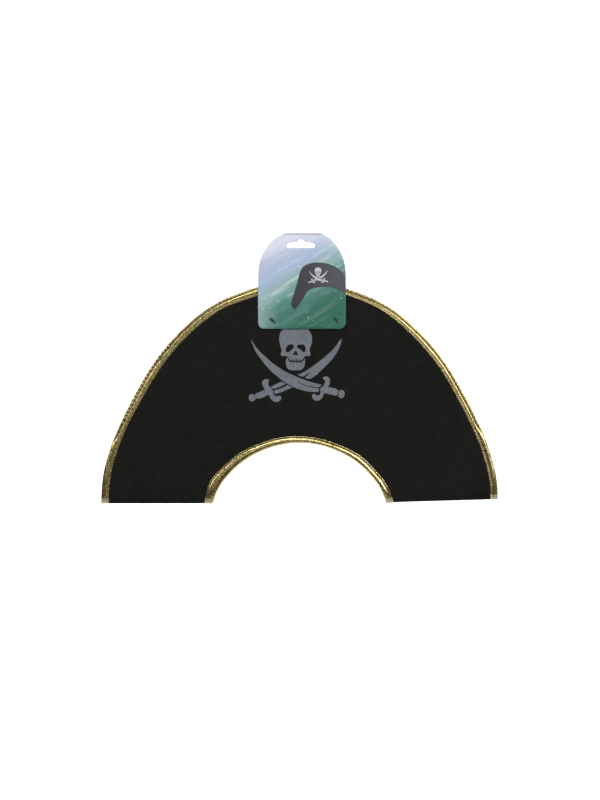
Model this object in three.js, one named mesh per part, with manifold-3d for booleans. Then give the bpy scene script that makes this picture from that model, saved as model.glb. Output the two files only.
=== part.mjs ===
// Pirate hat, folded flat: a ring of stiff black felt folded across its diameter,
// both curved edges bound with gold tape, the outer edges sewn together above the
// notches, a silver print on the front and a header card pinned over the crown.
// Millimetres, +Z up. The front faces -Y. x = 0 is the hat's centre plane, y = 0 lies
// midway between the two panels, z = 0 is the folded lower edge of the wings.
import * as THREE from "three";
import { mergeVertices } from "three/addons/utils/BufferGeometryUtils.js";
import Module from "manifold-3d";

const wasm = await Module();
wasm.setup();

// ---- driving dimensions ----
const GAP = 0.3; // clearance between touching pieces
const FELT_IN = 2.7; // inner face of each felt panel, from y = 0
const FELT = 2.0; // felt thickness
const TAPE_WEB = 0.9; // tape thickness round the felt's edge
const TAPE_IN = 2.15; // inner leg of the binding tape, from y = 0
const TAPE_LEG = 0.25; // thickness of the inner leg
const TAPE_OUT = 5.0; // start of the outer leg
const TAPE_OUT_T = 0.3; // thickness of the outer leg
const OUTER_TAPE_WIDTH = 9.2; // width of the tape on the outer edge
const INNER_TAPE_WIDTH = 8.6; // width of the tape on the inner edge
const THREAD = 0.5; // width of a line of stitching
const SEAM_IN = 3.1; // the seam through both edges lies this far in from the outer edge
const PRINT_T = 0.25; // thickness of the printed layer
const CROWN_R = 170; // radius of the outer edge at the crown
const CROWN_Z = 253.9; // height of the crown
const NOTCH_LEFT_Z = 68; // the outer edges are sewn together above this height on the left
const NOTCH_RIGHT_Z = 79; // and above this height on the right
const HINGE_Z = 195; // height of the line about which the brow and the nape bend
const HINGE_HALF = 64; // half-width of the bending part at that line
const SIDE_HALF = 111.1; // half-width of the bending part at z = 0
const CUT = 0.6; // clearance along the edges of the bending part
const FOLD_FROM = 112; // the wings' folded lower edge starts here...
const FOLD_TO = 216.6; // ...and ends here
const FOLD_H = 10; // height of the folded strip
const CARD_Y = 6.1; // inner face of each card leaf, from y = 0
const CARD_T = 0.5; // card thickness
const CARD_TOP = 307.8; // fold of the card
const CARD_LOW = 198.4; // lower edge of the card
const CARD_BEND = 258; // the leaves lean together above this height
const PIN_R = 0.4; // filament radius of a tag pin
const PIN_HOLE_R = 0.78; // hole round the filament, at its corners
const PIN_BAR_R = 0.6; // end bar radius
const PIN_BAR = 8.5; // end bar length
const PIN_LEFT = [-30.8, 208.6]; // x, z of the left pin
const PIN_RIGHT = [41.6, 208.6]; // x, z of the right pin
const PIN_LEFT_SLOPE = 40; // downward slope of the left pin's bars, in degrees
const PIN_RIGHT_SLOPE = 58; // and of the right pin's
const SLOT_X = 1.7; // centre of the hanging slot
const SLOT_Z = 293.8;
const SLOT_W = 32;
const SLOT_H = 5.6;
const SLOT_BUMP = 5.2; // radius of the bump in the slot's upper edge

// Outer edge of the hat, right half, from the folded lower edge upwards: [x, z].
const OUTER = [
  [226.4, 0], [226.4, 9.1], [225.9, 17.1], [225.1, 25.1], [224, 33.1], [222.3, 41],
  [220.2, 49], [217.7, 57], [215.1, 65], [212.2, 73], [208.8, 80.9], [205.4, 88.9],
  [201.7, 96.9], [197.8, 104.9], [193.8, 112.9], [189.6, 120.8], [185.1, 128.8],
  [180.8, 136.8], [176.2, 144.8], [171.2, 152.8], [166, 160.7], [160.2, 168.7], [153.7, 176.7],
  [146.8, 184.7], [139.4, 192.7], [131.2, 200.6], [122.5, 208.6], [112.6, 216.6],
  [100.9, 224.6], [86, 232.6], [66.1, 240.5],
];
// Edge of the head opening, right half, from the lower edge to the middle: [x, z].
const OPENING = [
  [99, 0], [94.3, 12], [88.4, 22.8], [79.6, 33.1], [70.3, 42.2], [61.1, 49.2], [51.9, 54.7],
  [42.8, 59.2], [33.6, 62.7], [24.5, 65.3], [15.4, 67.1], [7.7, 68], [0, 68.3],
];
// Islands of the print on the front: [x, z].
const SKULL = [
  [-6.73, 202.85], [-0.66, 202.71], [5.44, 200.92], [9.41, 198.02], [11.97, 195.01],
  [13.76, 191.53], [14.37, 187.12], [14.07, 182.77], [12.99, 179.32], [11.98, 176.25],
  [11.64, 173.86], [12.2, 171.62], [12.49, 169.9], [12.02, 168.29], [10.69, 167.4], [8.49, 167.62],
  [6.53, 167.45], [5.26, 166.01], [4.24, 164.44], [3.56, 163.27], [2.9, 162.9], [2.69, 164],
  [2.14, 164.02], [1.78, 162.14], [0.25, 162.1], [-0.15, 164], [-0.64, 164.04], [-0.99, 162.04],
  [-2.69, 162], [-2.98, 164.01], [-3.54, 164.05], [-3.98, 162.03], [-5.6, 161.99], [-6, 164.02],
  [-6.48, 164.06], [-6.93, 162.01], [-8.44, 161.99], [-8.74, 164.04], [-9.31, 164.05],
  [-9.64, 162.17], [-10.93, 162.44], [-11.67, 163.44], [-12.15, 164.65], [-13.04, 166.35],
  [-15.07, 167.6], [-17.63, 167.46], [-19.7, 167.43], [-20.89, 168.18], [-21.4, 169.71],
  [-21.1, 171.47], [-20.25, 173.6], [-20.9, 176.22], [-21.86, 179.32], [-22.7, 182.8],
  [-23.28, 187.12], [-22.62, 191.5], [-21.15, 195.03], [-18.82, 198.05], [-14.58, 201.08],
  [-11.14, 202.51],
];
const EYE_L = [
  [-15.65, 173.68], [-15.49, 176.28], [-13.97, 179.09], [-11.55, 180.59], [-8.76, 180.83],
  [-7.01, 179.69], [-6.63, 177.65], [-7.71, 175.56], [-9.56, 174.28], [-11.12, 172.55],
  [-13.02, 171.84], [-14.79, 172.16],
];
const EYE_R = [
  [-2.72, 178.02], [-2.18, 179.67], [-0.2, 180.58], [2.7, 180.75], [5.21, 180.32], [6.49, 178.14],
  [6.96, 175.24], [6.64, 172.87], [5.55, 171.87], [3.8, 172.13], [2.38, 173.81], [0.51, 175.36],
  [-1.73, 176.24],
];
const NOSE = [
  [-4.38, 173.54], [-3.63, 172.87], [-3.02, 171.78], [-2.19, 170.37], [-1.55, 169.1],
  [-1.77, 168.32], [-2.91, 168.45], [-4.34, 169.07], [-5.68, 168.5], [-7.04, 168.31],
  [-7.38, 169.06], [-6.65, 170.39], [-5.74, 172], [-5.08, 172.92],
];
const JAW = [
  [-13.8, 165.68], [-14.97, 164.49], [-15.5, 161.84], [-15.54, 158.76], [-14.99, 155.75],
  [-13.55, 153.41], [-11.11, 151.88], [-7.66, 151.36], [-2.37, 151.4], [1.08, 151.56],
  [3.53, 152.92], [5.31, 155.3], [6.12, 158.82], [6.35, 162.27], [5.98, 164.87], [5.43, 165.09],
  [4.96, 163.09], [3.86, 161.65], [3.01, 160.87], [2.68, 159.6], [2.11, 159.59], [1.82, 160.77],
  [0.22, 160.88], [-0.14, 159.61], [-0.62, 159.57], [-1.03, 160.86], [-2.65, 160.9],
  [-2.99, 159.51], [-3.56, 159.47], [-3.94, 160.87], [-5.64, 160.91], [-5.98, 159.5],
  [-6.47, 159.46], [-6.96, 160.88], [-8.4, 160.92], [-8.76, 159.57], [-9.31, 159.55],
  [-9.61, 160.9], [-10.97, 161.17], [-12.34, 162.09], [-13.02, 163.57], [-13.42, 165.19],
];
const BLADE_A = [
  [-55.33, 187.32], [-53.01, 182.81], [-50.4, 178.85], [-46.86, 174.47], [-42.56, 170.15],
  [-38.16, 166.23], [-32.92, 161.39], [-26.85, 156.59], [-20.69, 152.71], [-15.5, 149.47],
  [-8.51, 146.11], [-3.24, 143.96], [1.94, 141.81], [8.09, 139.59], [15.06, 137.39],
  [20.26, 136.12], [25.12, 134.82], [24.19, 133.38], [22.38, 132.08], [17.69, 132.12],
  [12.41, 132.89], [6.35, 134.6], [1.09, 136.63], [-3.72, 138.67], [0.95, 136.01], [6.13, 133.81],
  [12.27, 132.02], [17.68, 131.16], [22.09, 131.03], [22.06, 128.67], [21.32, 126.45],
  [17.66, 126.44], [13.33, 126.74], [7.17, 127.64], [1.11, 129.16], [-5.01, 131.3],
  [-10.27, 133.9], [-15.45, 136.99], [-20.74, 140.5], [-25.95, 144.81], [-31.17, 149.17],
  [-36.45, 154.89], [-40.76, 159.68], [-44.28, 164.43], [-47.35, 168.82], [-50.35, 173.65],
  [-52.59, 178.85], [-54.56, 183.45],
];
const BLADE_B = [
  [48.23, 187.58], [46.45, 185.87], [43.83, 182.34], [40.82, 177.96], [36.84, 173.64],
  [31.64, 168.85], [26.41, 164.44], [20.26, 159.65], [15.08, 155.76], [8.93, 151.82],
  [3.7, 148.73], [-2.55, 146.14], [0.63, 144.95], [3.73, 143.78], [8.95, 146.81], [13.55, 149.3],
  [9.85, 145.99], [5.96, 142.89], [8.95, 141.94], [11.84, 141.46], [15.9, 143.53], [22.06, 148.73],
  [27.26, 153.55], [32.49, 158.82], [36.89, 163.58], [40.33, 167.92], [43.85, 173.64],
  [46.04, 178.45], [47.48, 182.94],
];
const BLADE_B2 = [
  [-32.91, 132.62], [-28.14, 134.83], [-24.22, 136.8], [-20.25, 138.09], [-17.95, 137.17],
  [-15.3, 136.04], [-18.96, 133.9], [-24.23, 131.73], [-29.15, 130.11], [-31.2, 130.8],
];
const BLADE_B3 = [
  [-28.72, 128.43], [-22.47, 130.2], [-17.24, 132.35], [-13.54, 134.6], [-10.71, 133.24],
  [-7.79, 131.94], [-12.85, 129.54], [-19, 126.93], [-24.18, 125.23], [-28.06, 124.16],
  [-28.75, 125.61],
];
const HILT_R = [
  [26.42, 142.48], [27.7, 143.73], [30.31, 144.21], [32.97, 143.32], [34.39, 141.36],
  [34.78, 138.31], [34.08, 135.21], [32.47, 132.51], [36.89, 131.34], [40.34, 130.62],
  [42.96, 129.19], [44.57, 127.56], [44.34, 125.67], [43.51, 123.71], [41.93, 122.38],
  [38.59, 123.04], [34.28, 123.92], [30.3, 125.01], [28.14, 125.18], [27.11, 122.18],
  [25.49, 119.37], [22.93, 117.23], [19.41, 116.48], [16.34, 117.82], [14.65, 119.96],
  [14.15, 122.38], [15.5, 124.08], [17.25, 124.62], [18.51, 123.26], [20.49, 122.57],
  [22.46, 123.05], [23.59, 124.52], [23.45, 126.48], [23.57, 128.86], [23.97, 130.99],
  [26.4, 132.88], [27.94, 135.21], [29.04, 137.87], [28.82, 140.23], [27.27, 140.89],
];
const POMMEL_R = [
  [45.09, 126.77], [46.45, 128.55], [48.63, 128.77], [50.68, 127.44], [51.58, 125.22],
  [51.36, 122.61], [49.79, 120.38], [47.31, 119.34], [45.27, 120.43], [43.83, 122.07],
  [44.88, 123.86],
];
const POMMEL_R_HOLE = [
  [47.79, 123.63], [48.29, 123.05], [47.76, 122.4], [47.19, 122.99],
];
const HILT_L = [
  [-34.3, 139.34], [-35.21, 140.76], [-37.31, 141.33], [-39.88, 140.88], [-41.77, 139.18],
  [-42.6, 136.57], [-42.08, 133.9], [-40.64, 131.29], [-39.01, 129.42], [-42.54, 127.83],
  [-46.03, 126.31], [-49.48, 125.03], [-50.76, 123.84], [-50.54, 121.53], [-49.07, 119.59],
  [-46.91, 118.85], [-43.37, 119.56], [-39.06, 121.52], [-35.02, 123.44], [-33.96, 121.3],
  [-32.53, 118.58], [-30.29, 116.27], [-27.7, 115.17], [-24.66, 115.46], [-22, 116.82],
  [-20.74, 118.98], [-21.14, 121.2], [-22.89, 122.52], [-25.11, 121.87], [-27.23, 122.04],
  [-29.02, 123.48], [-29.97, 125.39], [-29.94, 127.97], [-31.57, 129.91], [-33.44, 131.95],
  [-35.02, 134.18], [-35.57, 136.52], [-35.17, 138.3],
];
const POMMEL_L = [
  [-51.66, 123.28], [-51.09, 121.31], [-49.78, 119.35], [-51.22, 117.32], [-53.03, 115.88],
  [-55.17, 116.06], [-57.18, 117.94], [-57.82, 120.39], [-56.9, 122.87], [-54.93, 123.99],
  [-53.01, 123.95],
];
const POMMEL_L_HOLE = [
  [-53.85, 119.27], [-53.27, 118.78], [-53.89, 118.13], [-54.45, 118.72],
];
// Outline of the header card.
const CARD = [
  [-41.5, 198.4], [46.8, 198.4], [50.6, 200], [53, 204.4], [53, 262], [52.2, 270], [49.8, 279],
  [45.5, 288], [39.5, 296.5], [32.5, 303.5], [24.5, 309.5], [-16.5, 309.5], [-25.5, 303.5],
  [-33, 296.5], [-39.2, 288], [-43.8, 279], [-46.4, 270], [-47.3, 262], [-47.3, 204.4], [-45.2, 200],
];

// ---- helpers ----
function toManifold(geometry) {
  const g = geometry.clone();
  for (const name of Object.keys(g.attributes)) if (name !== "position") g.deleteAttribute(name);
  const m = mergeVertices(g, 1e-4);
  return new wasm.Manifold(
    new wasm.Mesh({
      numProp: 3,
      vertProperties: new Float32Array(m.attributes.position.array),
      triVerts: new Uint32Array(m.index.array),
    }),
  );
}
function fromManifold(solid) {
  const m = solid.getMesh();
  const g = new THREE.BufferGeometry();
  g.setAttribute("position", new THREE.BufferAttribute(new Float32Array(m.vertProperties), 3));
  g.setIndex(new THREE.BufferAttribute(new Uint32Array(m.triVerts), 1));
  g.computeVertexNormals();
  return g;
}
// A shape drawn in x and z, extruded from y0 to y1.
function plate(outline, y0, y1, holes = []) {
  const points = outline.map(([x, z]) => new THREE.Vector2(x, z));
  if (THREE.ShapeUtils.isClockWise(points)) points.reverse();
  const shape = new THREE.Shape(points);
  for (const h of holes) shape.holes.push(new THREE.Path(h.map(([x, z]) => new THREE.Vector2(x, z))));
  const g = new THREE.ExtrudeGeometry(shape, { depth: y1 - y0, bevelEnabled: false, curveSegments: 8 });
  g.rotateX(Math.PI / 2); // shape's y becomes z, depth runs towards -y
  g.translate(0, y1, 0);
  return g;
}
// Profile points (s, y) carried along stations {p: [x, z], v: [x, z]}: the point lies at p + s v.
function band(stations, profile) {
  const n = stations.length, k = profile.length;
  const pos = [];
  for (const { p, v } of stations)
    for (const [s, y] of profile) pos.push(p[0] + s * v[0], y, p[1] + s * v[1]);
  const idx = [];
  for (let i = 0; i + 1 < n; i++)
    for (let j = 0; j < k; j++) {
      const a = i * k + j, b = i * k + ((j + 1) % k), c = a + k, d = b + k;
      idx.push(a, b, d, a, d, c);
    }
  const cap = THREE.ShapeUtils.triangulateShape(profile.map(([s, y]) => new THREE.Vector2(s, y)), []);
  const last = (n - 1) * k;
  for (const [a, b, c] of cap) {
    idx.push(a, c, b);
    idx.push(last + a, last + b, last + c);
  }
  const g = new THREE.BufferGeometry();
  g.setAttribute("position", new THREE.BufferAttribute(new Float32Array(pos), 3));
  g.setIndex(idx);
  return outward(g);
}
// Turns a closed geometry's faces outwards.
function outward(g) {
  const p = g.attributes.position, ix = g.index.array;
  let vol = 0;
  const a = new THREE.Vector3(), b = new THREE.Vector3(), c = new THREE.Vector3();
  for (let i = 0; i < ix.length; i += 3) {
    a.fromBufferAttribute(p, ix[i]);
    b.fromBufferAttribute(p, ix[i + 1]);
    c.fromBufferAttribute(p, ix[i + 2]);
    vol += a.dot(b.cross(c));
  }
  if (vol < 0) for (let i = 0; i < ix.length; i += 3) [ix[i + 1], ix[i + 2]] = [ix[i + 2], ix[i + 1]];
  g.computeVertexNormals();
  return g;
}
// Evenly spaced stations along half an edge and its mirror image. inward = +1 points v
// towards the felt for the outer edge, and away from the opening for the inner one.
function stationsOf(half, count, endV, side) {
  const full = [...half.map(([x, z]) => [x, z]), ...half.slice().reverse().filter(([x]) => x > 0).map(([x, z]) => [-x, z])];
  const curve = new THREE.CatmullRomCurve3(full.map(([x, z]) => new THREE.Vector3(x, 0, z)), false, "centripetal");
  curve.arcLengthDivisions = 2000;
  const out = [];
  for (let i = 0; i <= count; i++) {
    const u = i / count, q = curve.getPointAt(u), t = curve.getTangentAt(u);
    out.push({ p: [q.x, q.z], v: [-t.z * side, t.x * side] });
  }
  // exact mirror symmetry and level ends
  for (let i = 0; i <= count / 2; i++) {
    const a = out[i], b = out[count - i];
    const x = (a.p[0] - b.p[0]) / 2, z = (a.p[1] + b.p[1]) / 2;
    const vx = (a.v[0] - b.v[0]) / 2, vz = (a.v[1] + b.v[1]) / 2;
    out[i] = { p: [x, z], v: [vx, vz] };
    out[count - i] = { p: [-x, z], v: [-vx, vz] };
  }
  out[0] = { p: [half[0][0], 0], v: endV };
  out[count] = { p: [-half[0][0], 0], v: [-endV[0], endV[1]] };
  return out;
}
const offset = (stations, s) => stations.map(({ p, v }) => [p[0] + s * v[0], p[1] + s * v[1]]);
const mirrorY = (profile) => profile.map(([s, y]) => [s, -y]).reverse();

const crownPoints = [40, 20, 0].map((x) => [x, CROWN_Z - CROWN_R + Math.sqrt(CROWN_R ** 2 - x ** 2)]);
const outer = stationsOf([...OUTER, ...crownPoints], 76, [-1, 0], 1);
const inner = stationsOf(OPENING, 34, [1.08, 0], -1);

// ---- materials ----
const felt = new THREE.MeshStandardMaterial({ color: 0x1c1c1a, roughness: 0.95, metalness: 0 });
const lame = new THREE.MeshStandardMaterial({ color: 0xc2a04e, roughness: 0.35, metalness: 0.8 });
const goldThread = new THREE.MeshStandardMaterial({ color: 0x8f7434, roughness: 0.6, metalness: 0.2 });
const silver = new THREE.MeshStandardMaterial({ color: 0x8b8d93, roughness: 0.5, metalness: 0.4 });
const cardboard = new THREE.MeshStandardMaterial({ color: 0xa9b2cc, roughness: 0.35, metalness: 0 });
const nylon = new THREE.MeshStandardMaterial({ color: 0x101010, roughness: 0.4, metalness: 0 });

const hat = new THREE.Group();
function add(name, geometry, material) {
  const mesh = new THREE.Mesh(geometry, material.clone());
  mesh.name = name;
  hat.add(mesh);
  return mesh;
}

// ---- felt panels ----
const cutX = (z, grow) => {
  const t = (HINGE_Z - z) / HINGE_Z;
  return HINGE_HALF + grow + t * (SIDE_HALF - HINGE_HALF);
};
// Crown and wings: outside the cut lines, down to the folded strips.
function archOutline() {
  const edge = offset(outer, TAPE_WEB + GAP);
  const low = FOLD_H + GAP;
  const above = edge.filter(([, z]) => z > low + 0.5);
  const xLow = above[0][0] + 0.0;
  const g = CUT + 0.02;
  return [
    [xLow, low], ...above, [-xLow, low],
    [-cutX(low, g), low], [-cutX(HINGE_Z + 0.9, g), HINGE_Z + 0.9],
    [cutX(HINGE_Z + 0.9, g), HINGE_Z + 0.9], [cutX(low, g), low],
  ];
}
// The part that bends: above the head opening, inside the cut lines.
function browOutline() {
  const edge = offset(inner, TAPE_WEB + GAP);
  return [
    [SIDE_HALF, 0], [HINGE_HALF, HINGE_Z - 0.7], [-HINGE_HALF, HINGE_Z - 0.7], [-SIDE_HALF, 0],
    ...edge.slice().reverse(),
  ];
}
function pinHole(x, z) {
  const c = new THREE.CylinderGeometry(PIN_HOLE_R, PIN_HOLE_R, 30, 10);
  c.translate(x, 0, z);
  return toManifold(c);
}
const pinHoles = pinHole(...PIN_LEFT).add(pinHole(...PIN_RIGHT));
const arch = (y0, y1) => fromManifold(toManifold(plate(archOutline(), y0, y1)).subtract(pinHoles));
add("front_panel_arch", arch(-FELT_IN - FELT, -FELT_IN), felt);
add("back_panel_arch", arch(FELT_IN, FELT_IN + FELT), felt);
add("front_panel_brow", plate(browOutline(), -FELT_IN - FELT, -FELT_IN), felt);
add("back_panel_nape", plate(browOutline(), FELT_IN, FELT_IN + FELT), felt);

// ---- folded felt along the wings' lower edge: a U that opens upwards ----
function sideFold(sign) {
  const t = FELT, w = FELT_IN + FELT, i = FELT_IN;
  const shape = new THREE.Shape(
    [[-w, 0], [w, 0], [w, FOLD_H], [i, FOLD_H], [i, t], [-i, t], [-i, FOLD_H], [-w, FOLD_H]].map(
      ([y, z]) => new THREE.Vector2(y, z),
    ),
  );
  const g = new THREE.ExtrudeGeometry(shape, { depth: FOLD_TO - FOLD_FROM, bevelEnabled: false });
  g.rotateY(Math.PI / 2);
  g.rotateX(Math.PI / 2); // drawn axes now lie along y and z, depth along x
  g.translate(sign > 0 ? FOLD_FROM : -FOLD_TO, 0, 0);
  return g;
}
add("left_side_fold", sideFold(-1), felt);
add("right_side_fold", sideFold(1), felt);

// ---- binding tapes: a channel round the felt's edge ----
const tapeProfile = (width) => [
  [0, -(TAPE_OUT + TAPE_OUT_T)], [width, -(TAPE_OUT + TAPE_OUT_T)], [width, -TAPE_OUT],
  [TAPE_WEB, -TAPE_OUT], [TAPE_WEB, -(TAPE_IN + TAPE_LEG)], [width, -(TAPE_IN + TAPE_LEG)],
  [width, -TAPE_IN], [0, -TAPE_IN],
];
add("front_outer_trim", band(outer, tapeProfile(OUTER_TAPE_WIDTH)), lame);
add("back_outer_trim", band(outer, mirrorY(tapeProfile(OUTER_TAPE_WIDTH))), lame);
add("front_inner_trim", band(inner, tapeProfile(INNER_TAPE_WIDTH)), lame);
add("back_inner_trim", band(inner, mirrorY(tapeProfile(INNER_TAPE_WIDTH))), lame);

// ---- lines of stitching on the tapes ----
const threadY = TAPE_OUT + TAPE_OUT_T + GAP;
const threadProfile = (s) => [[s, -threadY - 0.2], [s + THREAD, -threadY - 0.2], [s + THREAD, -threadY], [s, -threadY]];
add("front_outer_trim_thread", band(outer, threadProfile(OUTER_TAPE_WIDTH - 1.9)), goldThread);
add("back_outer_trim_thread", band(outer, mirrorY(threadProfile(OUTER_TAPE_WIDTH - 1.9))), goldThread);
add("front_inner_trim_thread", band(inner, threadProfile(INNER_TAPE_WIDTH - 1.8)), goldThread);
add("back_inner_trim_thread", band(inner, mirrorY(threadProfile(INNER_TAPE_WIDTH - 1.8))), goldThread);

// ---- seam that joins the two bound outer edges above the notches: its needle thread
// lies on the front tape and its bobbin thread on the back tape ----
const sewn = outer.filter(({ p }) => p[1] > (p[0] > 0 ? NOTCH_RIGHT_Z : NOTCH_LEFT_Z));
add("edge_seam_needle_thread", band(sewn, threadProfile(SEAM_IN)), goldThread);
add("edge_seam_bobbin_thread", band(sewn, mirrorY(threadProfile(SEAM_IN))), goldThread);

// ---- print on the front ----
const printY = -(FELT_IN + FELT + GAP);
const printed = (name, outline, holes = []) =>
  add(name, plate(outline, printY - PRINT_T, printY, holes), silver);
const skullTop = HINGE_Z - 1.2; // the bending part, and the ink on it, end here
const skullCut = SKULL.map(([x, z]) => [x, Math.min(z, skullTop)]).filter(
  ([x, z], i, all) => !(z === skullTop && all[(i + 1) % all.length][1] === skullTop && all[(i + all.length - 1) % all.length][1] === skullTop),
);
printed("print_skull", skullCut, [EYE_L, EYE_R, NOSE]);
printed("print_jaw", JAW);
printed("print_front_blade", BLADE_A);
printed("print_rear_blade_upper", BLADE_B);
printed("print_rear_blade_edge", BLADE_B2);
printed("print_rear_blade_back", BLADE_B3);
printed("print_right_hilt", HILT_R);
printed("print_right_pommel", POMMEL_R, [POMMEL_R_HOLE]);
printed("print_left_hilt", HILT_L);
printed("print_left_pommel", POMMEL_L, [POMMEL_L_HOLE]);

// ---- header card: one folded sheet with a hanging slot through both leaves ----
{
  const o = CARD_Y + CARD_T, i = CARD_Y, n = CARD_T / 2;
  const profile = [
    [-o, CARD_LOW - 1], [-i, CARD_LOW - 1], [-i, CARD_BEND], [0, CARD_TOP - 2.2], [i, CARD_BEND],
    [i, CARD_LOW - 1], [o, CARD_LOW - 1], [o, CARD_BEND], [n, CARD_TOP], [-n, CARD_TOP], [-o, CARD_BEND],
  ];
  const folded = new THREE.ExtrudeGeometry(
    new THREE.Shape(profile.map(([y, z]) => new THREE.Vector2(y, z))),
    { depth: 120, bevelEnabled: false },
  );
  folded.rotateY(Math.PI / 2);
  folded.rotateX(Math.PI / 2);
  folded.translate(-60, 0, 0);
  const slot = [];
  const h = SLOT_H / 2, w = SLOT_W / 2 - h;
  for (let k = 0; k <= 6; k++) { const a = -Math.PI / 2 + (Math.PI * k) / 6; slot.push([SLOT_X + w + h * Math.cos(a), SLOT_Z + h * Math.sin(a)]); }
  for (let k = 0; k <= 6; k++) { const a = (Math.PI * (0.14 + 0.72 * (k / 6))); slot.push([SLOT_X + SLOT_BUMP * Math.cos(a), SLOT_Z + 1.6 + SLOT_BUMP * Math.sin(a)]); }
  for (let k = 0; k <= 6; k++) { const a = Math.PI / 2 + (Math.PI * k) / 6; slot.push([SLOT_X - w + h * Math.cos(a), SLOT_Z + h * Math.sin(a)]); }
  const outline = toManifold(plate(CARD, -12, 12, [slot]));
  add("header_card", fromManifold(toManifold(folded).intersect(outline).subtract(pinHoles)), cardboard);
}

// ---- tag pins: a filament through card and felt with a bar across each end ----
function tagPin([x, z], slope) {
  const end = CARD_Y + CARD_T + GAP + PIN_BAR_R; // centre of each bar
  const filament = new THREE.CylinderGeometry(PIN_R, PIN_R, 2 * end, 8);
  let pin = toManifold(filament);
  for (const side of [-1, 1]) {
    const bar = new THREE.CylinderGeometry(PIN_BAR_R, PIN_BAR_R, PIN_BAR, 8);
    bar.rotateY(Math.PI / 8);
    bar.rotateZ(Math.PI / 2);
    bar.rotateY((slope * Math.PI) / 180);
    bar.translate(0, side * end, 0);
    pin = pin.add(toManifold(bar));
  }
  const g = fromManifold(pin);
  g.translate(x, 0, z);
  return g;
}
add("left_tag_pin", tagPin(PIN_LEFT, PIN_LEFT_SLOPE), nylon);
add("right_tag_pin", tagPin(PIN_RIGHT, PIN_RIGHT_SLOPE), nylon);

export default hat;
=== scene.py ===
import bpy
import bmesh
import math
import numpy as np
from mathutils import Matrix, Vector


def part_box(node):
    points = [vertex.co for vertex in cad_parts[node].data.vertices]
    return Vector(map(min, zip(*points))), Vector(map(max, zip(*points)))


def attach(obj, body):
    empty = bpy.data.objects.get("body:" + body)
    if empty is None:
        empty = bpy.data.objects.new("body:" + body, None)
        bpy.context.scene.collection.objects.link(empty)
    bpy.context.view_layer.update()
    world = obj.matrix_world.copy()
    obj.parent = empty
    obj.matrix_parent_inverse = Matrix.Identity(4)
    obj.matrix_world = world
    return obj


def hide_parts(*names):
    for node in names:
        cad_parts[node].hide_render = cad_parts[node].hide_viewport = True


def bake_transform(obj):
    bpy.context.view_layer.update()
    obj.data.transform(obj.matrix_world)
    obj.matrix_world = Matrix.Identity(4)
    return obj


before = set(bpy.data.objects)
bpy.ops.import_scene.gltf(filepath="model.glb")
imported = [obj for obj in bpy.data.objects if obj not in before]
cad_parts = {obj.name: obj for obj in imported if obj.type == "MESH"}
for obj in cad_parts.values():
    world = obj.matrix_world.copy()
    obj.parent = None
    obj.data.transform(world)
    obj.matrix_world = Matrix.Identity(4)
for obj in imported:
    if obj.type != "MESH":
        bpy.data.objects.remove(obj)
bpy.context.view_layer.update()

MM = 0.001

# ------------------------------------------------------------------ shape of the hat, in mm
OUTER = [
    (226.4, 0), (226.4, 9.1), (225.9, 17.1), (225.1, 25.1), (224, 33.1), (222.3, 41),
    (220.2, 49), (217.7, 57), (215.1, 65), (212.2, 73), (208.8, 80.9), (205.4, 88.9),
    (201.7, 96.9), (197.8, 104.9), (193.8, 112.9), (189.6, 120.8), (185.1, 128.8),
    (180.8, 136.8), (176.2, 144.8), (171.2, 152.8), (166, 160.7), (160.2, 168.7),
    (153.7, 176.7), (146.8, 184.7), (139.4, 192.7), (131.2, 200.6), (122.5, 208.6),
    (112.6, 216.6), (100.9, 224.6), (86, 232.6), (66.1, 240.5), (46, 247.4), (32, 250.6),
    (16, 253.1), (0, 253.9),
]
OPENING = [
    (99, 0), (94.3, 12), (88.4, 22.8), (79.6, 33.1), (70.3, 42.2), (61.1, 49.2), (51.9, 54.7),
    (42.8, 59.2), (33.6, 62.7), (24.5, 65.3), (15.4, 67.1), (7.7, 68), (0, 68.3),
]
SKULL = [
    (-6.73, 202.85), (-0.66, 202.71), (5.44, 200.92), (9.41, 198.02), (11.97, 195.01),
    (13.76, 191.53), (14.37, 187.12), (14.07, 182.77), (12.99, 179.32), (11.98, 176.25),
    (11.64, 173.86), (12.2, 171.62), (12.49, 169.9), (12.02, 168.29), (10.69, 167.4),
    (8.49, 167.62), (6.53, 167.45), (5.26, 166.01), (4.24, 164.44), (3.56, 163.27), (2.9, 162.9),
    (2.69, 164), (2.14, 164.02), (1.78, 162.14), (0.25, 162.1), (-0.15, 164), (-0.64, 164.04),
    (-0.99, 162.04), (-2.69, 162), (-2.98, 164.01), (-3.54, 164.05), (-3.98, 162.03),
    (-5.6, 161.99), (-6, 164.02), (-6.48, 164.06), (-6.93, 162.01), (-8.44, 161.99),
    (-8.74, 164.04), (-9.31, 164.05), (-9.64, 162.17), (-10.93, 162.44), (-11.67, 163.44),
    (-12.15, 164.65), (-13.04, 166.35), (-15.07, 167.6), (-17.63, 167.46), (-19.7, 167.43),
    (-20.89, 168.18), (-21.4, 169.71), (-21.1, 171.47), (-20.25, 173.6), (-20.9, 176.22),
    (-21.86, 179.32), (-22.7, 182.8), (-23.28, 187.12), (-22.62, 191.5), (-21.15, 195.03),
    (-18.82, 198.05), (-14.58, 201.08), (-11.14, 202.51),
]
EYE_L = [
    (-15.65, 173.68), (-15.49, 176.28), (-13.97, 179.09), (-11.55, 180.59), (-8.76, 180.83),
    (-7.01, 179.69), (-6.63, 177.65), (-7.71, 175.56), (-9.56, 174.28), (-11.12, 172.55),
    (-13.02, 171.84), (-14.79, 172.16),
]
EYE_R = [
    (-2.72, 178.02), (-2.18, 179.67), (-0.2, 180.58), (2.7, 180.75), (5.21, 180.32),
    (6.49, 178.14), (6.96, 175.24), (6.64, 172.87), (5.55, 171.87), (3.8, 172.13), (2.38, 173.81),
    (0.51, 175.36), (-1.73, 176.24),
]
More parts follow.
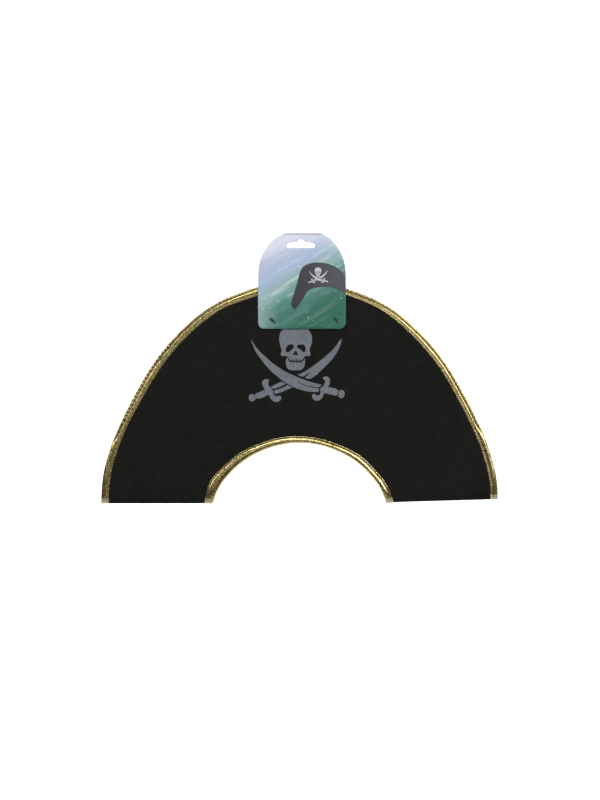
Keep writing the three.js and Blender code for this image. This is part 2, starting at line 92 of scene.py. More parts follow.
NOSE = [
    (-4.38, 173.54), (-3.63, 172.87), (-3.02, 171.78), (-2.19, 170.37), (-1.55, 169.1),
    (-1.77, 168.32), (-2.91, 168.45), (-4.34, 169.07), (-5.68, 168.5), (-7.04, 168.31),
    (-7.38, 169.06), (-6.65, 170.39), (-5.74, 172), (-5.08, 172.92),
]
JAW = [
    (-13.8, 165.68), (-14.97, 164.49), (-15.5, 161.84), (-15.54, 158.76), (-14.99, 155.75),
    (-13.55, 153.41), (-11.11, 151.88), (-7.66, 151.36), (-2.37, 151.4), (1.08, 151.56),
    (3.53, 152.92), (5.31, 155.3), (6.12, 158.82), (6.35, 162.27), (5.98, 164.87), (5.43, 165.09),
    (4.96, 163.09), (3.86, 161.65), (3.01, 160.87), (2.68, 159.6), (2.11, 159.59), (1.82, 160.77),
    (0.22, 160.88), (-0.14, 159.61), (-0.62, 159.57), (-1.03, 160.86), (-2.65, 160.9),
    (-2.99, 159.51), (-3.56, 159.47), (-3.94, 160.87), (-5.64, 160.91), (-5.98, 159.5),
    (-6.47, 159.46), (-6.96, 160.88), (-8.4, 160.92), (-8.76, 159.57), (-9.31, 159.55),
    (-9.61, 160.9), (-10.97, 161.17), (-12.34, 162.09), (-13.02, 163.57), (-13.42, 165.19),
]
BLADE_A = [
    (-55.33, 187.32), (-53.01, 182.81), (-50.4, 178.85), (-46.86, 174.47), (-42.56, 170.15),
    (-38.16, 166.23), (-32.92, 161.39), (-26.85, 156.59), (-20.69, 152.71), (-15.5, 149.47),
    (-8.51, 146.11), (-3.24, 143.96), (1.94, 141.81), (8.09, 139.59), (15.06, 137.39),
    (20.26, 136.12), (25.12, 134.82), (24.19, 133.38), (22.38, 132.08), (17.69, 132.12),
    (12.41, 132.89), (6.35, 134.6), (1.09, 136.63), (-3.72, 138.67), (0.95, 136.01),
    (6.13, 133.81), (12.27, 132.02), (17.68, 131.16), (22.09, 131.03), (22.06, 128.67),
    (21.32, 126.45), (17.66, 126.44), (13.33, 126.74), (7.17, 127.64), (1.11, 129.16),
    (-5.01, 131.3), (-10.27, 133.9), (-15.45, 136.99), (-20.74, 140.5), (-25.95, 144.81),
    (-31.17, 149.17), (-36.45, 154.89), (-40.76, 159.68), (-44.28, 164.43), (-47.35, 168.82),
    (-50.35, 173.65), (-52.59, 178.85), (-54.56, 183.45),
]
BLADE_B = [
    (48.23, 187.58), (46.45, 185.87), (43.83, 182.34), (40.82, 177.96), (36.84, 173.64),
    (31.64, 168.85), (26.41, 164.44), (20.26, 159.65), (15.08, 155.76), (8.93, 151.82),
    (3.7, 148.73), (-2.55, 146.14), (0.63, 144.95), (3.73, 143.78), (8.95, 146.81), (13.55, 149.3),
    (9.85, 145.99), (5.96, 142.89), (8.95, 141.94), (11.84, 141.46), (15.9, 143.53),
    (22.06, 148.73), (27.26, 153.55), (32.49, 158.82), (36.89, 163.58), (40.33, 167.92),
    (43.85, 173.64), (46.04, 178.45), (47.48, 182.94),
]
BLADE_B2 = [
    (-32.91, 132.62), (-28.14, 134.83), (-24.22, 136.8), (-20.25, 138.09), (-17.95, 137.17),
    (-15.3, 136.04), (-18.96, 133.9), (-24.23, 131.73), (-29.15, 130.11), (-31.2, 130.8),
]
BLADE_B3 = [
    (-28.72, 128.43), (-22.47, 130.2), (-17.24, 132.35), (-13.54, 134.6), (-10.71, 133.24),
    (-7.79, 131.94), (-12.85, 129.54), (-19, 126.93), (-24.18, 125.23), (-28.06, 124.16),
    (-28.75, 125.61),
]
HILT_R = [
    (26.42, 142.48), (27.7, 143.73), (30.31, 144.21), (32.97, 143.32), (34.39, 141.36),
    (34.78, 138.31), (34.08, 135.21), (32.47, 132.51), (36.89, 131.34), (40.34, 130.62),
    (42.96, 129.19), (44.57, 127.56), (44.34, 125.67), (43.51, 123.71), (41.93, 122.38),
    (38.59, 123.04), (34.28, 123.92), (30.3, 125.01), (28.14, 125.18), (27.11, 122.18),
    (25.49, 119.37), (22.93, 117.23), (19.41, 116.48), (16.34, 117.82), (14.65, 119.96),
    (14.15, 122.38), (15.5, 124.08), (17.25, 124.62), (18.51, 123.26), (20.49, 122.57),
    (22.46, 123.05), (23.59, 124.52), (23.45, 126.48), (23.57, 128.86), (23.97, 130.99),
    (26.4, 132.88), (27.94, 135.21), (29.04, 137.87), (28.82, 140.23), (27.27, 140.89),
]
POMMEL_R = [
    (45.09, 126.77), (46.45, 128.55), (48.63, 128.77), (50.68, 127.44), (51.58, 125.22),
    (51.36, 122.61), (49.79, 120.38), (47.31, 119.34), (45.27, 120.43), (43.83, 122.07),
    (44.88, 123.86),
]
POMMEL_R_HOLE = [
    (47.79, 123.63), (48.29, 123.05), (47.76, 122.4), (47.19, 122.99),
]
HILT_L = [
    (-34.3, 139.34), (-35.21, 140.76), (-37.31, 141.33), (-39.88, 140.88), (-41.77, 139.18),
    (-42.6, 136.57), (-42.08, 133.9), (-40.64, 131.29), (-39.01, 129.42), (-42.54, 127.83),
    (-46.03, 126.31), (-49.48, 125.03), (-50.76, 123.84), (-50.54, 121.53), (-49.07, 119.59),
    (-46.91, 118.85), (-43.37, 119.56), (-39.06, 121.52), (-35.02, 123.44), (-33.96, 121.3),
    (-32.53, 118.58), (-30.29, 116.27), (-27.7, 115.17), (-24.66, 115.46), (-22, 116.82),
    (-20.74, 118.98), (-21.14, 121.2), (-22.89, 122.52), (-25.11, 121.87), (-27.23, 122.04),
    (-29.02, 123.48), (-29.97, 125.39), (-29.94, 127.97), (-31.57, 129.91), (-33.44, 131.95),
    (-35.02, 134.18), (-35.57, 136.52), (-35.17, 138.3),
]
POMMEL_L = [
    (-51.66, 123.28), (-51.09, 121.31), (-49.78, 119.35), (-51.22, 117.32), (-53.03, 115.88),
    (-55.17, 116.06), (-57.18, 117.94), (-57.82, 120.39), (-56.9, 122.87), (-54.93, 123.99),
    (-53.01, 123.95),
]
POMMEL_L_HOLE = [
    (-53.85, 119.27), (-53.27, 118.78), (-53.89, 118.13), (-54.45, 118.72),
]
HAT_PICTURE = [
    (-5.39, 220.17), (-7.45, 222.23), (-9.52, 225.42), (-9.14, 229.73), (-7.45, 235.36),
    (-5.58, 240.98), (-3.89, 246.61), (-2.39, 252.23), (-1.08, 257.29), (0.42, 262.54),
    (2.48, 267.04), (5.67, 270.42), (9.98, 272.48), (14.67, 273.8), (20.3, 274.36),
    (25.92, 273.98), (31.55, 273.04), (36.8, 271.36), (41.86, 268.92), (46.17, 265.92),
    (49.55, 262.73), (51.79, 259.55), (52.36, 256.54), (52.36, 251.29), (52.36, 244.73),
    (52.17, 238.73), (50.29, 239.29), (46.54, 241.54), (42.79, 243.61), (38.11, 245.11),
    (33.42, 245.86), (27.8, 246.23), (22.17, 246.04), (17.48, 245.11), (13.17, 243.61),
    (9.98, 241.54), (7.54, 238.92), (5.86, 235.54), (3.98, 232.17), (1.55, 228.79),
    (-0.89, 225.42), (-3.14, 222.23),
]

HINGE_Z = 195.0
FELT_H = 1.0      # half the felt's thickness
TAPE_EDGE = 1.2   # the felt's edge lies this far inside the tape's
SEAM_IN = 3.1     # the seam that joins both bound edges
NOTCH = {1: 79.0, -1: 68.0}  # height above which the edges are sewn together, right and left
FOLD_MID = 1.9    # mid-surface radius of the folded lower edge
Z_F = 4.0         # the panels end and the folded strip begins at this height


def smooth(a, b, x):
    t = np.clip((np.asarray(x, float) - a) / (b - a), 0, 1)
    return t * t * (3 - 2 * t)


def catmull(points, per=24):
    """A centripetal Catmull-Rom curve through the points."""
    P = np.array(points, float)
    P = np.vstack([2 * P[0] - P[1], P, 2 * P[-1] - P[-2]])
    out = []
    for i in range(1, len(P) - 2):
        p0, p1, p2, p3 = P[i - 1 : i + 3]
        t0 = 0.0
        t1 = t0 + math.sqrt(np.linalg.norm(p1 - p0))
        t2 = t1 + math.sqrt(np.linalg.norm(p2 - p1))
        t3 = t2 + math.sqrt(np.linalg.norm(p3 - p2))
        for t in np.linspace(t1, t2, per, endpoint=False):
            a1 = (t1 - t) / (t1 - t0) * p0 + (t - t0) / (t1 - t0) * p1
            a2 = (t2 - t) / (t2 - t1) * p1 + (t - t1) / (t2 - t1) * p2
            a3 = (t3 - t) / (t3 - t2) * p2 + (t - t2) / (t3 - t2) * p3
            b1 = (t2 - t) / (t2 - t0) * a1 + (t - t0) / (t2 - t0) * a2
            b2 = (t3 - t) / (t3 - t1) * a2 + (t - t1) / (t3 - t1) * a3
            out.append((t2 - t) / (t2 - t1) * b1 + (t - t1) / (t2 - t1) * b2)
    out.append(P[-2])
    return np.array(out)


def evenly(P, n=None, step=None, closed=False):
    P = np.asarray(P, float)
    if closed:
        P = np.vstack([P, P[:1]])
    d = np.concatenate([[0], np.cumsum(np.linalg.norm(np.diff(P, axis=0), axis=1))])
    if n is None:
        n = max(2, int(round(d[-1] / step)) + 1)
    t = np.linspace(0, d[-1], n)
    Q = np.stack([np.interp(t, d, P[:, k]) for k in range(P.shape[1])], 1)
    return Q, t


def whole(half):
    return half + [(-x, z) for x, z in half[::-1] if x > 0]


def tangents(P):
    T = np.gradient(P, axis=0)
    return T / np.linalg.norm(T, axis=1)[:, None]


OUT_P, OUT_T = evenly(catmull(whole(OUTER)), step=0.5)
INN_P, INN_T = evenly(catmull(whole(OPENING)), step=0.5)


def soften(P, k):
    """Evens out small kinks along a curve, and keeps its ends."""
    w = np.hanning(2 * k + 1)
    w /= w.sum()
    Q = P.copy()
    for c in range(P.shape[1]):
        first, last = 2 * P[0, c] - P[k:0:-1, c], 2 * P[-1, c] - P[-2 : -k - 2 : -1, c]
        Q[:, c] = np.convolve(np.concatenate([first, P[:, c], last]), w, mode="valid")
    return Q


OUT_P = soften(OUT_P, 30)
INN_P = soften(INN_P, 14)
OUT_N = tangents(OUT_P)
OUT_N = np.stack([-OUT_N[:, 1], OUT_N[:, 0]], 1)   # towards the felt
INN_N = tangents(INN_P)
INN_N = np.stack([INN_N[:, 1], -INN_N[:, 0]], 1)   # towards the felt
OUT_L, INN_L = OUT_T[-1], INN_T[-1]

_rng = np.random.RandomState(7)


def waves(n, lo, hi, seed):
    r = np.random.RandomState(seed)
    f = r.uniform(lo, hi, n)
    return f, r.uniform(0, 2 * math.pi, n), r.uniform(0.5, 1, n), r.uniform(0, 2 * math.pi, n)


def noise1(x, seed, lo, hi, n=7):
    """Smooth noise along a line, about -1 to 1; lo and hi are wavelengths."""
    f, ph, am, _ = waves(n, 2 * math.pi / hi, 2 * math.pi / lo, seed)
    return sum(a * np.sin(k * x + p) for k, p, a in zip(f, ph, am)) / (0.62 * n ** 0.5 * 1.6)


def noise2(x, z, seed, lo, hi, n=10):
    f, ph, am, di = waves(n, 2 * math.pi / hi, 2 * math.pi / lo, seed)
    return sum(
        a * np.sin(k * (x * math.cos(d) + z * math.sin(d)) + p) for k, p, a, d in zip(f, ph, am, di)
    ) / (0.62 * n ** 0.5 * 1.6)


def edge_distance(x, z):
    """Distance to the hat's outer edge."""
    x, z = np.asarray(x, float), np.asarray(z, float)
    shape = x.shape
    Q = OUT_P[::6]
    px, pz = x.ravel(), z.ravel()
    out = np.empty(px.size)
    for i in range(0, px.size, 4000):
        dx = px[i : i + 4000, None] - Q[None, :, 0]
        dz = pz[i : i + 4000, None] - Q[None, :, 1]
        out[i : i + 4000] = np.sqrt((dx * dx + dz * dz).min(1))
    return out.reshape(shape)


def depth(x, z, side):
    """Distance of a panel's mid-surface from y = 0. side is -1 for the front and 1 for the back."""
    x, z = np.asarray(x, float), np.asarray(z, float)
    d = edge_distance(x, z)
    notch = np.where(x > 0, NOTCH[1], NOTCH[-1])
    sewn = smooth(-12, 14, z - notch)
    at_edge = 1.95 * sewn + (2.5 + 0.5 * smooth(70, 20, z)) * (1 - sewn)
    belly = 3.7 + 0.9 * np.exp(-((x / 85.0) ** 2) - ((z - 110) / 75.0) ** 2)
    belly = belly + 0.35 * noise2(x, z, 11 if side < 0 else 23, 90, 220)
    t = smooth(0, 46, d)
    out = at_edge * (1 - t) + belly * t
    wing = smooth(93, 100, np.abs(x))
    low = smooth(3.5, 30, z)
    return out * (1 - wing * (1 - low)) + FOLD_MID * wing * (1 - low)


def warp(V):
    """The lower edges sag a little, and the right one rises towards its end."""
    V = np.array(V, float)
    x, z = V[:, 0], V[:, 2]
    low = 1 - smooth(0, 46, z)
    V[:, 2] = z + low * (-0.7 + 1.5 * smooth(88, 118, x) + 3.2 * np.clip((x - 112) / 112.0, 0, 1))
    return V


def bend_weight(x, z):
    """0 where the felt stays with the crown and wings, 1 where it follows the brow or nape fully."""
    x, z = np.abs(np.asarray(x, float)), np.asarray(z, float)
    r = HINGE_Z - z
    half = 58 + (97.0 - 58) * np.clip(r / HINGE_Z, 0, 1)
    side = smooth(0, 1, (half - x) / (0.8 * half))
    return side * smooth(0, 75, r)


# ------------------------------------------------------------------ building blocks
COL = bpy.context.scene.collection


def make(name, V, F, mat, uv=None, shade=True, warped=True):
    V = np.asarray(V, float)
    if warped:
        V = warp(V)
    me = bpy.data.meshes.new(name)
    me.from_pydata((V * MM).tolist(), [], [list(map(int, f)) for f in F])
    if uv is not None:
        layer = me.uv_layers.new(name="flat")
        idx = np.empty(len(me.loops), dtype=np.int32)
        me.loops.foreach_get("vertex_index", idx)
        layer.data.foreach_set("uv", (np.asarray(uv, float)[idx] * MM).astype(np.float32).ravel())
    me.update()
    if shade:
        me.polygons.foreach_set("use_smooth", [True] * len(me.polygons))
    bm = bmesh.new()
    bm.from_mesh(me)
    bmesh.ops.recalc_face_normals(bm, faces=bm.faces)
    bm.to_mesh(me)
    bm.free()
    ob = bpy.data.objects.new(name, me)
    COL.objects.link(ob)
    if mat is not None:
        me.materials.append(mat)
    return ob


def bends(ob):
    """Bakes a piece's transform into its mesh and works out its bend weights between the crown and the brow or nape,
    which are not applied.
    """
    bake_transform(ob)
    co = np.empty(len(ob.data.vertices) * 3)
    ob.data.vertices.foreach_get("co", co)
    co = co.reshape(-1, 3) / MM
    w = bend_weight(co[:, 0], co[:, 2])
    return ob


def grid_faces(nu, nv, base=0, flip=False):
    out = []
    for i in range(nu - 1):
        for j in range(nv - 1):
            a = base + i * nv + j
            q = (a, a + nv, a + nv + 1, a + 1)
            out.append(q[::-1] if flip else q)
    return out


def thick(M, h):
    """Closed sheet round a mid-surface grid M (nu, nv, 3) of half-thickness h."""
    nu, nv = M.shape[:2]
    du = np.gradient(M, axis=0)
    dv = np.gradient(M, axis=1)
    N = np.cross(du, dv)
    N /= np.linalg.norm(N, axis=2)[:, :, None] + 1e-12
    A, B = (M + N * h).reshape(-1, 3), (M - N * h).reshape(-1, 3)
    n = nu * nv
    V = np.vstack([A, B])
    F = grid_faces(nu, nv) + grid_faces(nu, nv, n, True)
    rim = [i * nv for i in range(nu)] + [(nu - 1) * nv + j for j in range(1, nv)]
    rim += [i * nv + nv - 1 for i in range(nu - 2, -1, -1)] + [j for j in range(nv - 2, 0, -1)]
    for a, b in zip(rim, rim[1:] + rim[:1]):
        F.append((a, b, b + n, a + n))
    return V, F


def swept(base, S, N, profiles, caps=True):
    """Profile rings (s, n) placed at base + s S + n N."""
    n, k = profiles.shape[:2]
    V = base[:, None, :] + profiles[:, :, :1] * S[:, None, :] + profiles[:, :, 1:] * N[:, None, :]
    V = V.reshape(-1, 3)
    F = []
    for i in range(n - 1):
        for j in range(k):
            a, b = i * k + j, i * k + (j + 1) % k
            F.append((a, b, b + k, a + k))
    if caps:
        F.append(tuple(range(k))[::-1])
        F.append(tuple((n - 1) * k + j for j in range(k)))
    return V, F


# ------------------------------------------------------------------ materials
class Tree:
    """Short way to write a node tree."""

    def __init__(self, name):
        self.mat = bpy.data.materials.new(name)
        self.mat.use_nodes = True
        self.t = self.mat.node_tree
        self.b = next(n for n in self.t.nodes if n.type == "BSDF_PRINCIPLED")

    def add(self, kind, **props):
        n = self.t.nodes.new(kind)
        for k, v in props.items():
            setattr(n, k, v)
        return n

    def link(self, a, b):
        self.t.links.new(a, b)

    def value(self, socket, v):
        if hasattr(v, "default_value") or hasattr(v, "is_output"):
            self.link(v, socket)
        else:
            socket.default_value = v

    def math(self, op, a, b=None, c=None, clamp=False):
        n = self.add("ShaderNodeMath", operation=op, use_clamp=clamp)
        for s, v in zip(n.inputs, (a, b, c)):
            if v is not None:
                self.value(s, v)
        return n.outputs[0]

    def ramp(self, fac, stops, mode="LINEAR"):
        n = self.add("ShaderNodeValToRGB")
        n.color_ramp.interpolation = mode
        e = n.color_ramp.elements
        while len(e) < len(stops):
            e.new(0.5)
        for el, (p, c) in zip(e, stops):
            el.position = p
            el.color = c if len(c) == 4 else (*c, 1)
        self.value(n.inputs[0], fac)
        return n.outputs["Color"]

    def mix(self, fac, a, b, mode="MIX"):
        n = self.add("ShaderNodeMix", data_type="RGBA", blend_type=mode)
        self.value(n.inputs[0], fac)
        for s, v in ((n.inputs[6], a), (n.inputs[7], b)):
            if isinstance(v, tuple):
                s.default_value = v if len(v) == 4 else (*v, 1)
            else:
                self.link(v, s)
        return n.outputs[2]

    def coords(self, uv=None):
        if uv:
            return self.add("ShaderNodeUVMap", uv_map=uv).outputs[0]
        return self.add("ShaderNodeTexCoord").outputs["Object"]

    def mapped(self, vec, scale=(1, 1, 1), rot=(0, 0, 0), loc=(0, 0, 0)):
        n = self.add("ShaderNodeMapping")
        self.link(vec, n.inputs[0])
        n.inputs["Scale"].default_value = scale
        n.inputs["Rotation"].default_value = rot
        n.inputs["Location"].default_value = loc
        return n.outputs[0]

    def noise(self, vec, scale, detail=3, rough=0.55, out="Fac", dist=0.0):
        n = self.add("ShaderNodeTexNoise")
        self.link(vec, n.inputs["Vector"])
        n.inputs["Scale"].default_value = scale
        n.inputs["Detail"].default_value = detail
        n.inputs["Roughness"].default_value = rough
        n.inputs["Distortion"].default_value = dist
        return n.outputs[out]

    def voronoi(self, vec, scale, feature="F1", out="Distance"):
        n = self.add("ShaderNodeTexVoronoi", feature=feature)
        self.link(vec, n.inputs["Vector"])
        n.inputs["Scale"].default_value = scale
        return n.outputs[out]

    def bump(self, height, strength, distance, normal=None):
        n = self.add("ShaderNodeBump")
        n.inputs["Strength"].default_value = strength
        n.inputs["Distance"].default_value = distance
        self.link(height, n.inputs["Height"])
        if normal is not None:
            self.link(normal, n.inputs["Normal"])
        return n.outputs[0]

    def set(self, **kw):
        for k, v in kw.items():
            self.value(self.b.inputs[k.replace("_", " ")], v)
        return self.mat


def srgb(r, g, b):
    def f(c):
        c /= 255.0
        return c / 12.92 if c <= 0.04045 else ((c + 0.055) / 1.055) ** 2.4

    return (f(r), f(g), f(b))


def felt_material():
    m = Tree("black_felt")
    p = m.coords()
    fibre = m.noise(p, 900, 5, 0.7)
    mat_ = m.noise(p, 160, 4, 0.6)
    broad = m.noise(p, 9, 3, 0.5)
    streak = m.noise(m.mapped(p, (1, 1, 4), (0, 0.5, 0)), 1300, 3, 0.6)
    base = m.ramp(broad, [(0.3, srgb(24.5, 25, 23.5)), (0.7, srgb(28, 27, 25))])
    tone = m.ramp(mat_, [(0.35, (0.85, 0.85, 0.85)), (0.65, (1.15, 1.15, 1.15))])
    col = m.mix(1.0, base, tone, "MULTIPLY")
    lint = m.voronoi(p, 150)
    spot = m.math("LESS_THAN", lint, 0.035)
    keep = m.math("GREATER_THAN", m.noise(p, 60, 1), 0.64)
    col = m.mix(m.math("MULTIPLY", m.math("MULTIPLY", spot, keep), 0.3), col, srgb(64, 64, 60))
    m.link(col, m.b.inputs["Base Color"])
    h = m.math("ADD", m.math("MULTIPLY", fibre, 0.6), m.math("ADD", m.math("MULTIPLY", mat_, 0.5), m.math("MULTIPLY", streak, 0.4)))
    m.link(m.bump(h, 0.45, 0.0003), m.b.inputs["Normal"])
    m.link(m.ramp(mat_, [(0.3, (0.88,) * 3), (0.7, (0.98,) * 3)]), m.b.inputs["Roughness"])
    return m.set(Specular_IOR_Level=0.05, Sheen_Weight=0.0)


def tape_material():
    m = Tree("gold_tape")
    uv = m.coords("flat")                      # along from the nearer end, and across, in metres
    sep = m.add("ShaderNodeSeparateXYZ")
    m.link(uv, sep.inputs[0])
    fine = m.noise(m.mapped(uv, (1, 0.35, 1), (0, 0, 0.45)), 1500, 3, 0.6)
    ribs = m.noise(m.mapped(uv, (1, 0.22, 1), (0, 0, 0.5)), 520, 2, 0.5)
    crush = m.noise(uv, 300, 2, 0.5)
    broad = m.noise(uv, 70, 3, 0.6)
    col = m.ramp(
        broad,
        [(0.3, srgb(184, 164, 104)), (0.5, srgb(203, 183, 122)), (0.7, srgb(213, 195, 142))],
    )
    dark = m.ramp(fine, [(0.32, (0.62, 0.56, 0.44)), (0.5, (1, 1, 1))])
    col = m.mix(0.35, col, dark, "MULTIPLY")
    # darker where the rib noise is low, in the valleys of the rib bump
    rib_valley_dark = m.ramp(ribs, [(0.3, (0.5, 0.44, 0.3)), (0.5, (1, 1, 1))])
    col = m.mix(0.22, col, rib_valley_dark, "MULTIPLY")
    # painted shade: the grooves pulled in by the two rows of stitches are darkened in the colour
    cross = m.add("ShaderNodeSeparateXYZ")
    m.link(m.coords("grooves"), cross.inputs[0])
    for k, width, groove_shade_amount in ((0, 0.0011, 0.9), (1, 0.0006, 0.55)):
        g = m.math("SUBTRACT", 1.0, m.math("DIVIDE", m.math("ABSOLUTE", cross.outputs[k]), width), clamp=True)
        col = m.mix(m.math("MULTIPLY", g, groove_shade_amount), col, srgb(74, 58, 26))
    # painted shade: the creases between the puckers of the outer strip are darkened in the colour
    crease_shade = m.add("ShaderNodeSeparateXYZ")
    m.link(m.coords("puckers"), crease_shade.inputs[0])
    pucker_shade_mask = m.math("DIVIDE", m.math("SUBTRACT", crease_shade.outputs[0], 0.25), 0.25, clamp=True)
    col = m.mix(m.math("MULTIPLY", pucker_shade_mask, 0.9), col, srgb(66, 52, 22))
    cap = m.math("DIVIDE", m.math("SUBTRACT", 0.0062, sep.outputs[0]), 0.0008, clamp=True)
    col = m.mix(m.math("MULTIPLY", cap, 0.6), col, srgb(214, 204, 178))
    m.link(col, m.b.inputs["Base Color"])
    rough = m.mix(cap, m.ramp(crush, [(0.3, (0.22,) * 3), (0.7, (0.33,) * 3)]), (0.5, 0.5, 0.5))
    m.link(rough, m.b.inputs["Roughness"])
    n1 = m.bump(ribs, 0.5, 0.0003)
    n2 = m.bump(crush, 0.17, 0.0003, n1)
    m.link(m.bump(fine, 0.2, 0.0001, n2), m.b.inputs["Normal"])
    return m.set(Metallic=1.0, Coat_Weight=0.45, Coat_Roughness=0.15)


def thread_material():
    m = Tree("gold_thread")
    p = m.coords()
    col = m.ramp(m.noise(p, 700, 3), [(0.3, srgb(66, 53, 26)), (0.7, srgb(110, 92, 50))])
    m.link(col, m.b.inputs["Base Color"])
    m.link(m.bump(m.noise(m.mapped(p, (1, 1, 1)), 2600, 2), 0.5, 0.0001), m.b.inputs["Normal"])
    return m.set(Metallic=0.0, Roughness=0.6, Specular_IOR_Level=0.3)


def print_material():
    m = Tree("silver_print")
    p = m.coords()
    cell = m.voronoi(p, 2100, out="Color")
    sep = m.add("ShaderNodeSeparateColor")
    m.link(cell, sep.inputs[0])
    flake = sep.outputs[0]
    fine = m.noise(p, 1500, 3, 0.7)
    broad = m.noise(p, 70, 3, 0.6)
    base = m.ramp(broad, [(0.3, srgb(111, 118, 126)), (0.7, srgb(124, 130, 135))])
    tone = m.ramp(flake, [(0.0, (0.68,) * 3), (0.6, (0.98,) * 3), (0.85, (1.15,) * 3), (1.0, (1.6,) * 3)])
    col = m.mix(1.0, base, tone, "MULTIPLY")
    wear = m.ramp(fine, [(0.32, (0.45,) * 3), (0.45, (1.0,) * 3)])
    col = m.mix(1.0, col, wear, "MULTIPLY")
    m.link(col, m.b.inputs["Base Color"])
    m.link(m.ramp(sep.outputs[1], [(0.0, (0.3,) * 3), (1.0, (0.6,) * 3)]), m.b.inputs["Roughness"])
    n1 = m.bump(sep.outputs[2], 0.35, 0.00012)
    m.link(m.bump(fine, 0.5, 0.0002, n1), m.b.inputs["Normal"])
    return m.set(Metallic=0.35, Specular_IOR_Level=0.4)


def nylon_material():
    m = Tree("black_nylon")
    p = m.coords()
    col = m.ramp(m.noise(p, 500, 2), [(0.3, srgb(11, 11, 12)), (0.7, srgb(20, 20, 22))])
    m.link(col, m.b.inputs["Base Color"])
    m.link(m.bump(m.noise(p, 1800, 2), 0.2, 0.00008), m.b.inputs["Normal"])
    return m.set(Roughness=0.5, Specular_IOR_Level=0.25)


def card_material():
    """uv is x and height on the front leaf, and runs on past the fold on the back one."""
    m = Tree("card")
    uv = m.coords("flat")
    sep = m.add("ShaderNodeSeparateXYZ")
    m.link(uv, sep.inputs[0])
    x, z = sep.outputs[0], sep.outputs[1]
    wob = m.math("MULTIPLY", m.math("SUBTRACT", m.noise(uv, 34, 3, 0.55), 0.5), 0.022)
    # height above a line that climbs to the right
    p = m.math("ADD", m.math("SUBTRACT", m.math("SUBTRACT", z, m.math("MULTIPLY", x, 0.58)), 0.260), wob)
    t = m.math("DIVIDE", m.math("ADD", p, 0.060), 0.120, clamp=True)
    col = m.ramp(
        t,
        [
            (0.0, srgb(48, 106, 86)), (0.17, srgb(60, 114, 102)), (0.30, srgb(86, 136, 126)), (0.40, srgb(122, 162, 156)),
            (0.47, srgb(148, 176, 176)), (0.53, srgb(152, 178, 190)), (0.64, srgb(164, 182, 209)), (0.76, srgb(178, 187, 211)),
            (0.88, srgb(204, 207, 225)), (0.98, srgb(230, 232, 244)),
        ],
    )
    left = m.math("DIVIDE", m.math("SUBTRACT", -0.024, x), 0.024, clamp=True)
    low = m.math("DIVIDE", m.math("SUBTRACT", 0.238, z), 0.02, clamp=True)
    col = m.mix(m.math("MULTIPLY", m.math("MULTIPLY", left, low), 0.75), col, srgb(152, 172, 174))
    topz = m.math("DIVIDE", m.math("SUBTRACT", z, 0.285), 0.022, clamp=True)
    col = m.mix(m.math("MULTIPLY", topz, 0.55), col, srgb(226, 228, 242))
    # rays of light along the same line
    ray = m.add("ShaderNodeMapping", vector_type="TEXTURE")
    m.link(uv, ray.inputs[0])
    ray.inputs["Rotation"].default_value = (0, 0, 0.52)
    ray.inputs["Scale"].default_value = (9, 1, 1)
    st = m.noise(ray.outputs[0], 150, 4, 0.62)
    lit = m.math("MULTIPLY", m.ramp(st, [(0.50, (0,) * 3), (0.72, (1,) * 3)]), m.ramp(t, [(0.15, (0.1,) * 3), (0.42, (0.5,) * 3), (0.56, (0.6,) * 3), (0.75, (0.3,) * 3)]))
    col = m.mix(lit, col, srgb(232, 240, 240))
    shade = m.ramp(m.noise(ray.outputs[0], 90, 3, 0.6), [(0.3, (0.84, 0.88, 0.88)), (0.55, (1, 1, 1))])
    col = m.mix(0.7, col, shade, "MULTIPLY")
    # light points
    v = m.voronoi(uv, 150)
    star = m.ramp(v, [(0.0, (1,) * 3), (0.08, (0.7,) * 3), (0.17, (0,) * 3)])
    pick = m.math("GREATER_THAN", m.noise(uv, 75, 1), 0.54)
    col = m.mix(m.math("MULTIPLY", m.math("MULTIPLY", star, pick), 0.75), col, srgb(226, 240, 238))
    # painted shade: a darker line along the card's fold
    crease_shade = m.math("DIVIDE", m.math("SUBTRACT", 0.0017, m.math("ABSOLUTE", m.math("SUBTRACT", z, 0.3074))), 0.0006, clamp=True)
    col = m.mix(m.math("MULTIPLY", crease_shade, 0.75), col, srgb(134, 136, 148))
    back = m.math("GREATER_THAN", z, 0.3090)
    col = m.mix(back, col, m.mix(m.noise(uv, 900, 3), srgb(214, 216, 222), srgb(228, 229, 233)))
    m.link(col, m.b.inputs["Base Color"])
    m.link(m.ramp(m.noise(uv, 300, 3), [(0.3, (0.34,) * 3), (0.7, (0.46,) * 3)]), m.b.inputs["Roughness"])
    m.link(m.bump(m.noise(uv, 140, 3), 0.12, 0.0004), m.b.inputs["Normal"])
    return m.set(Specular_IOR_Level=0.35)


def picture_material(name, dark, light):
    m = Tree(name)
    uv = m.coords("flat")
    sep = m.add("ShaderNodeSeparateXYZ")
    m.link(uv, sep.inputs[0])
    t = m.math("DIVIDE", m.math("SUBTRACT", sep.outputs[0], 0.0), 0.05, clamp=True)
    t = m.math("ADD", m.math("MULTIPLY", t, 0.6), m.math("MULTIPLY", m.noise(uv, 120, 4, 0.6), 0.4))
    col = m.ramp(t, [(0.2, dark), (0.8, light)])
    m.link(col, m.b.inputs["Base Color"])
    m.link(m.bump(m.noise(uv, 140, 3), 0.12, 0.0004), m.b.inputs["Normal"])
    return m.set(Roughness=0.4, Specular_IOR_Level=0.35)


FELT = felt_material()
TAPE = tape_material()
THREADM = thread_material()
PRINT = print_material()
NYLON = nylon_material()
CARDM = card_material()
PICTURE = picture_material("card_picture", srgb(56, 55, 61), srgb(80, 80, 88))
PICTURE_PALE = picture_material("card_picture_pale", srgb(176, 177, 180), srgb(205, 206, 208))


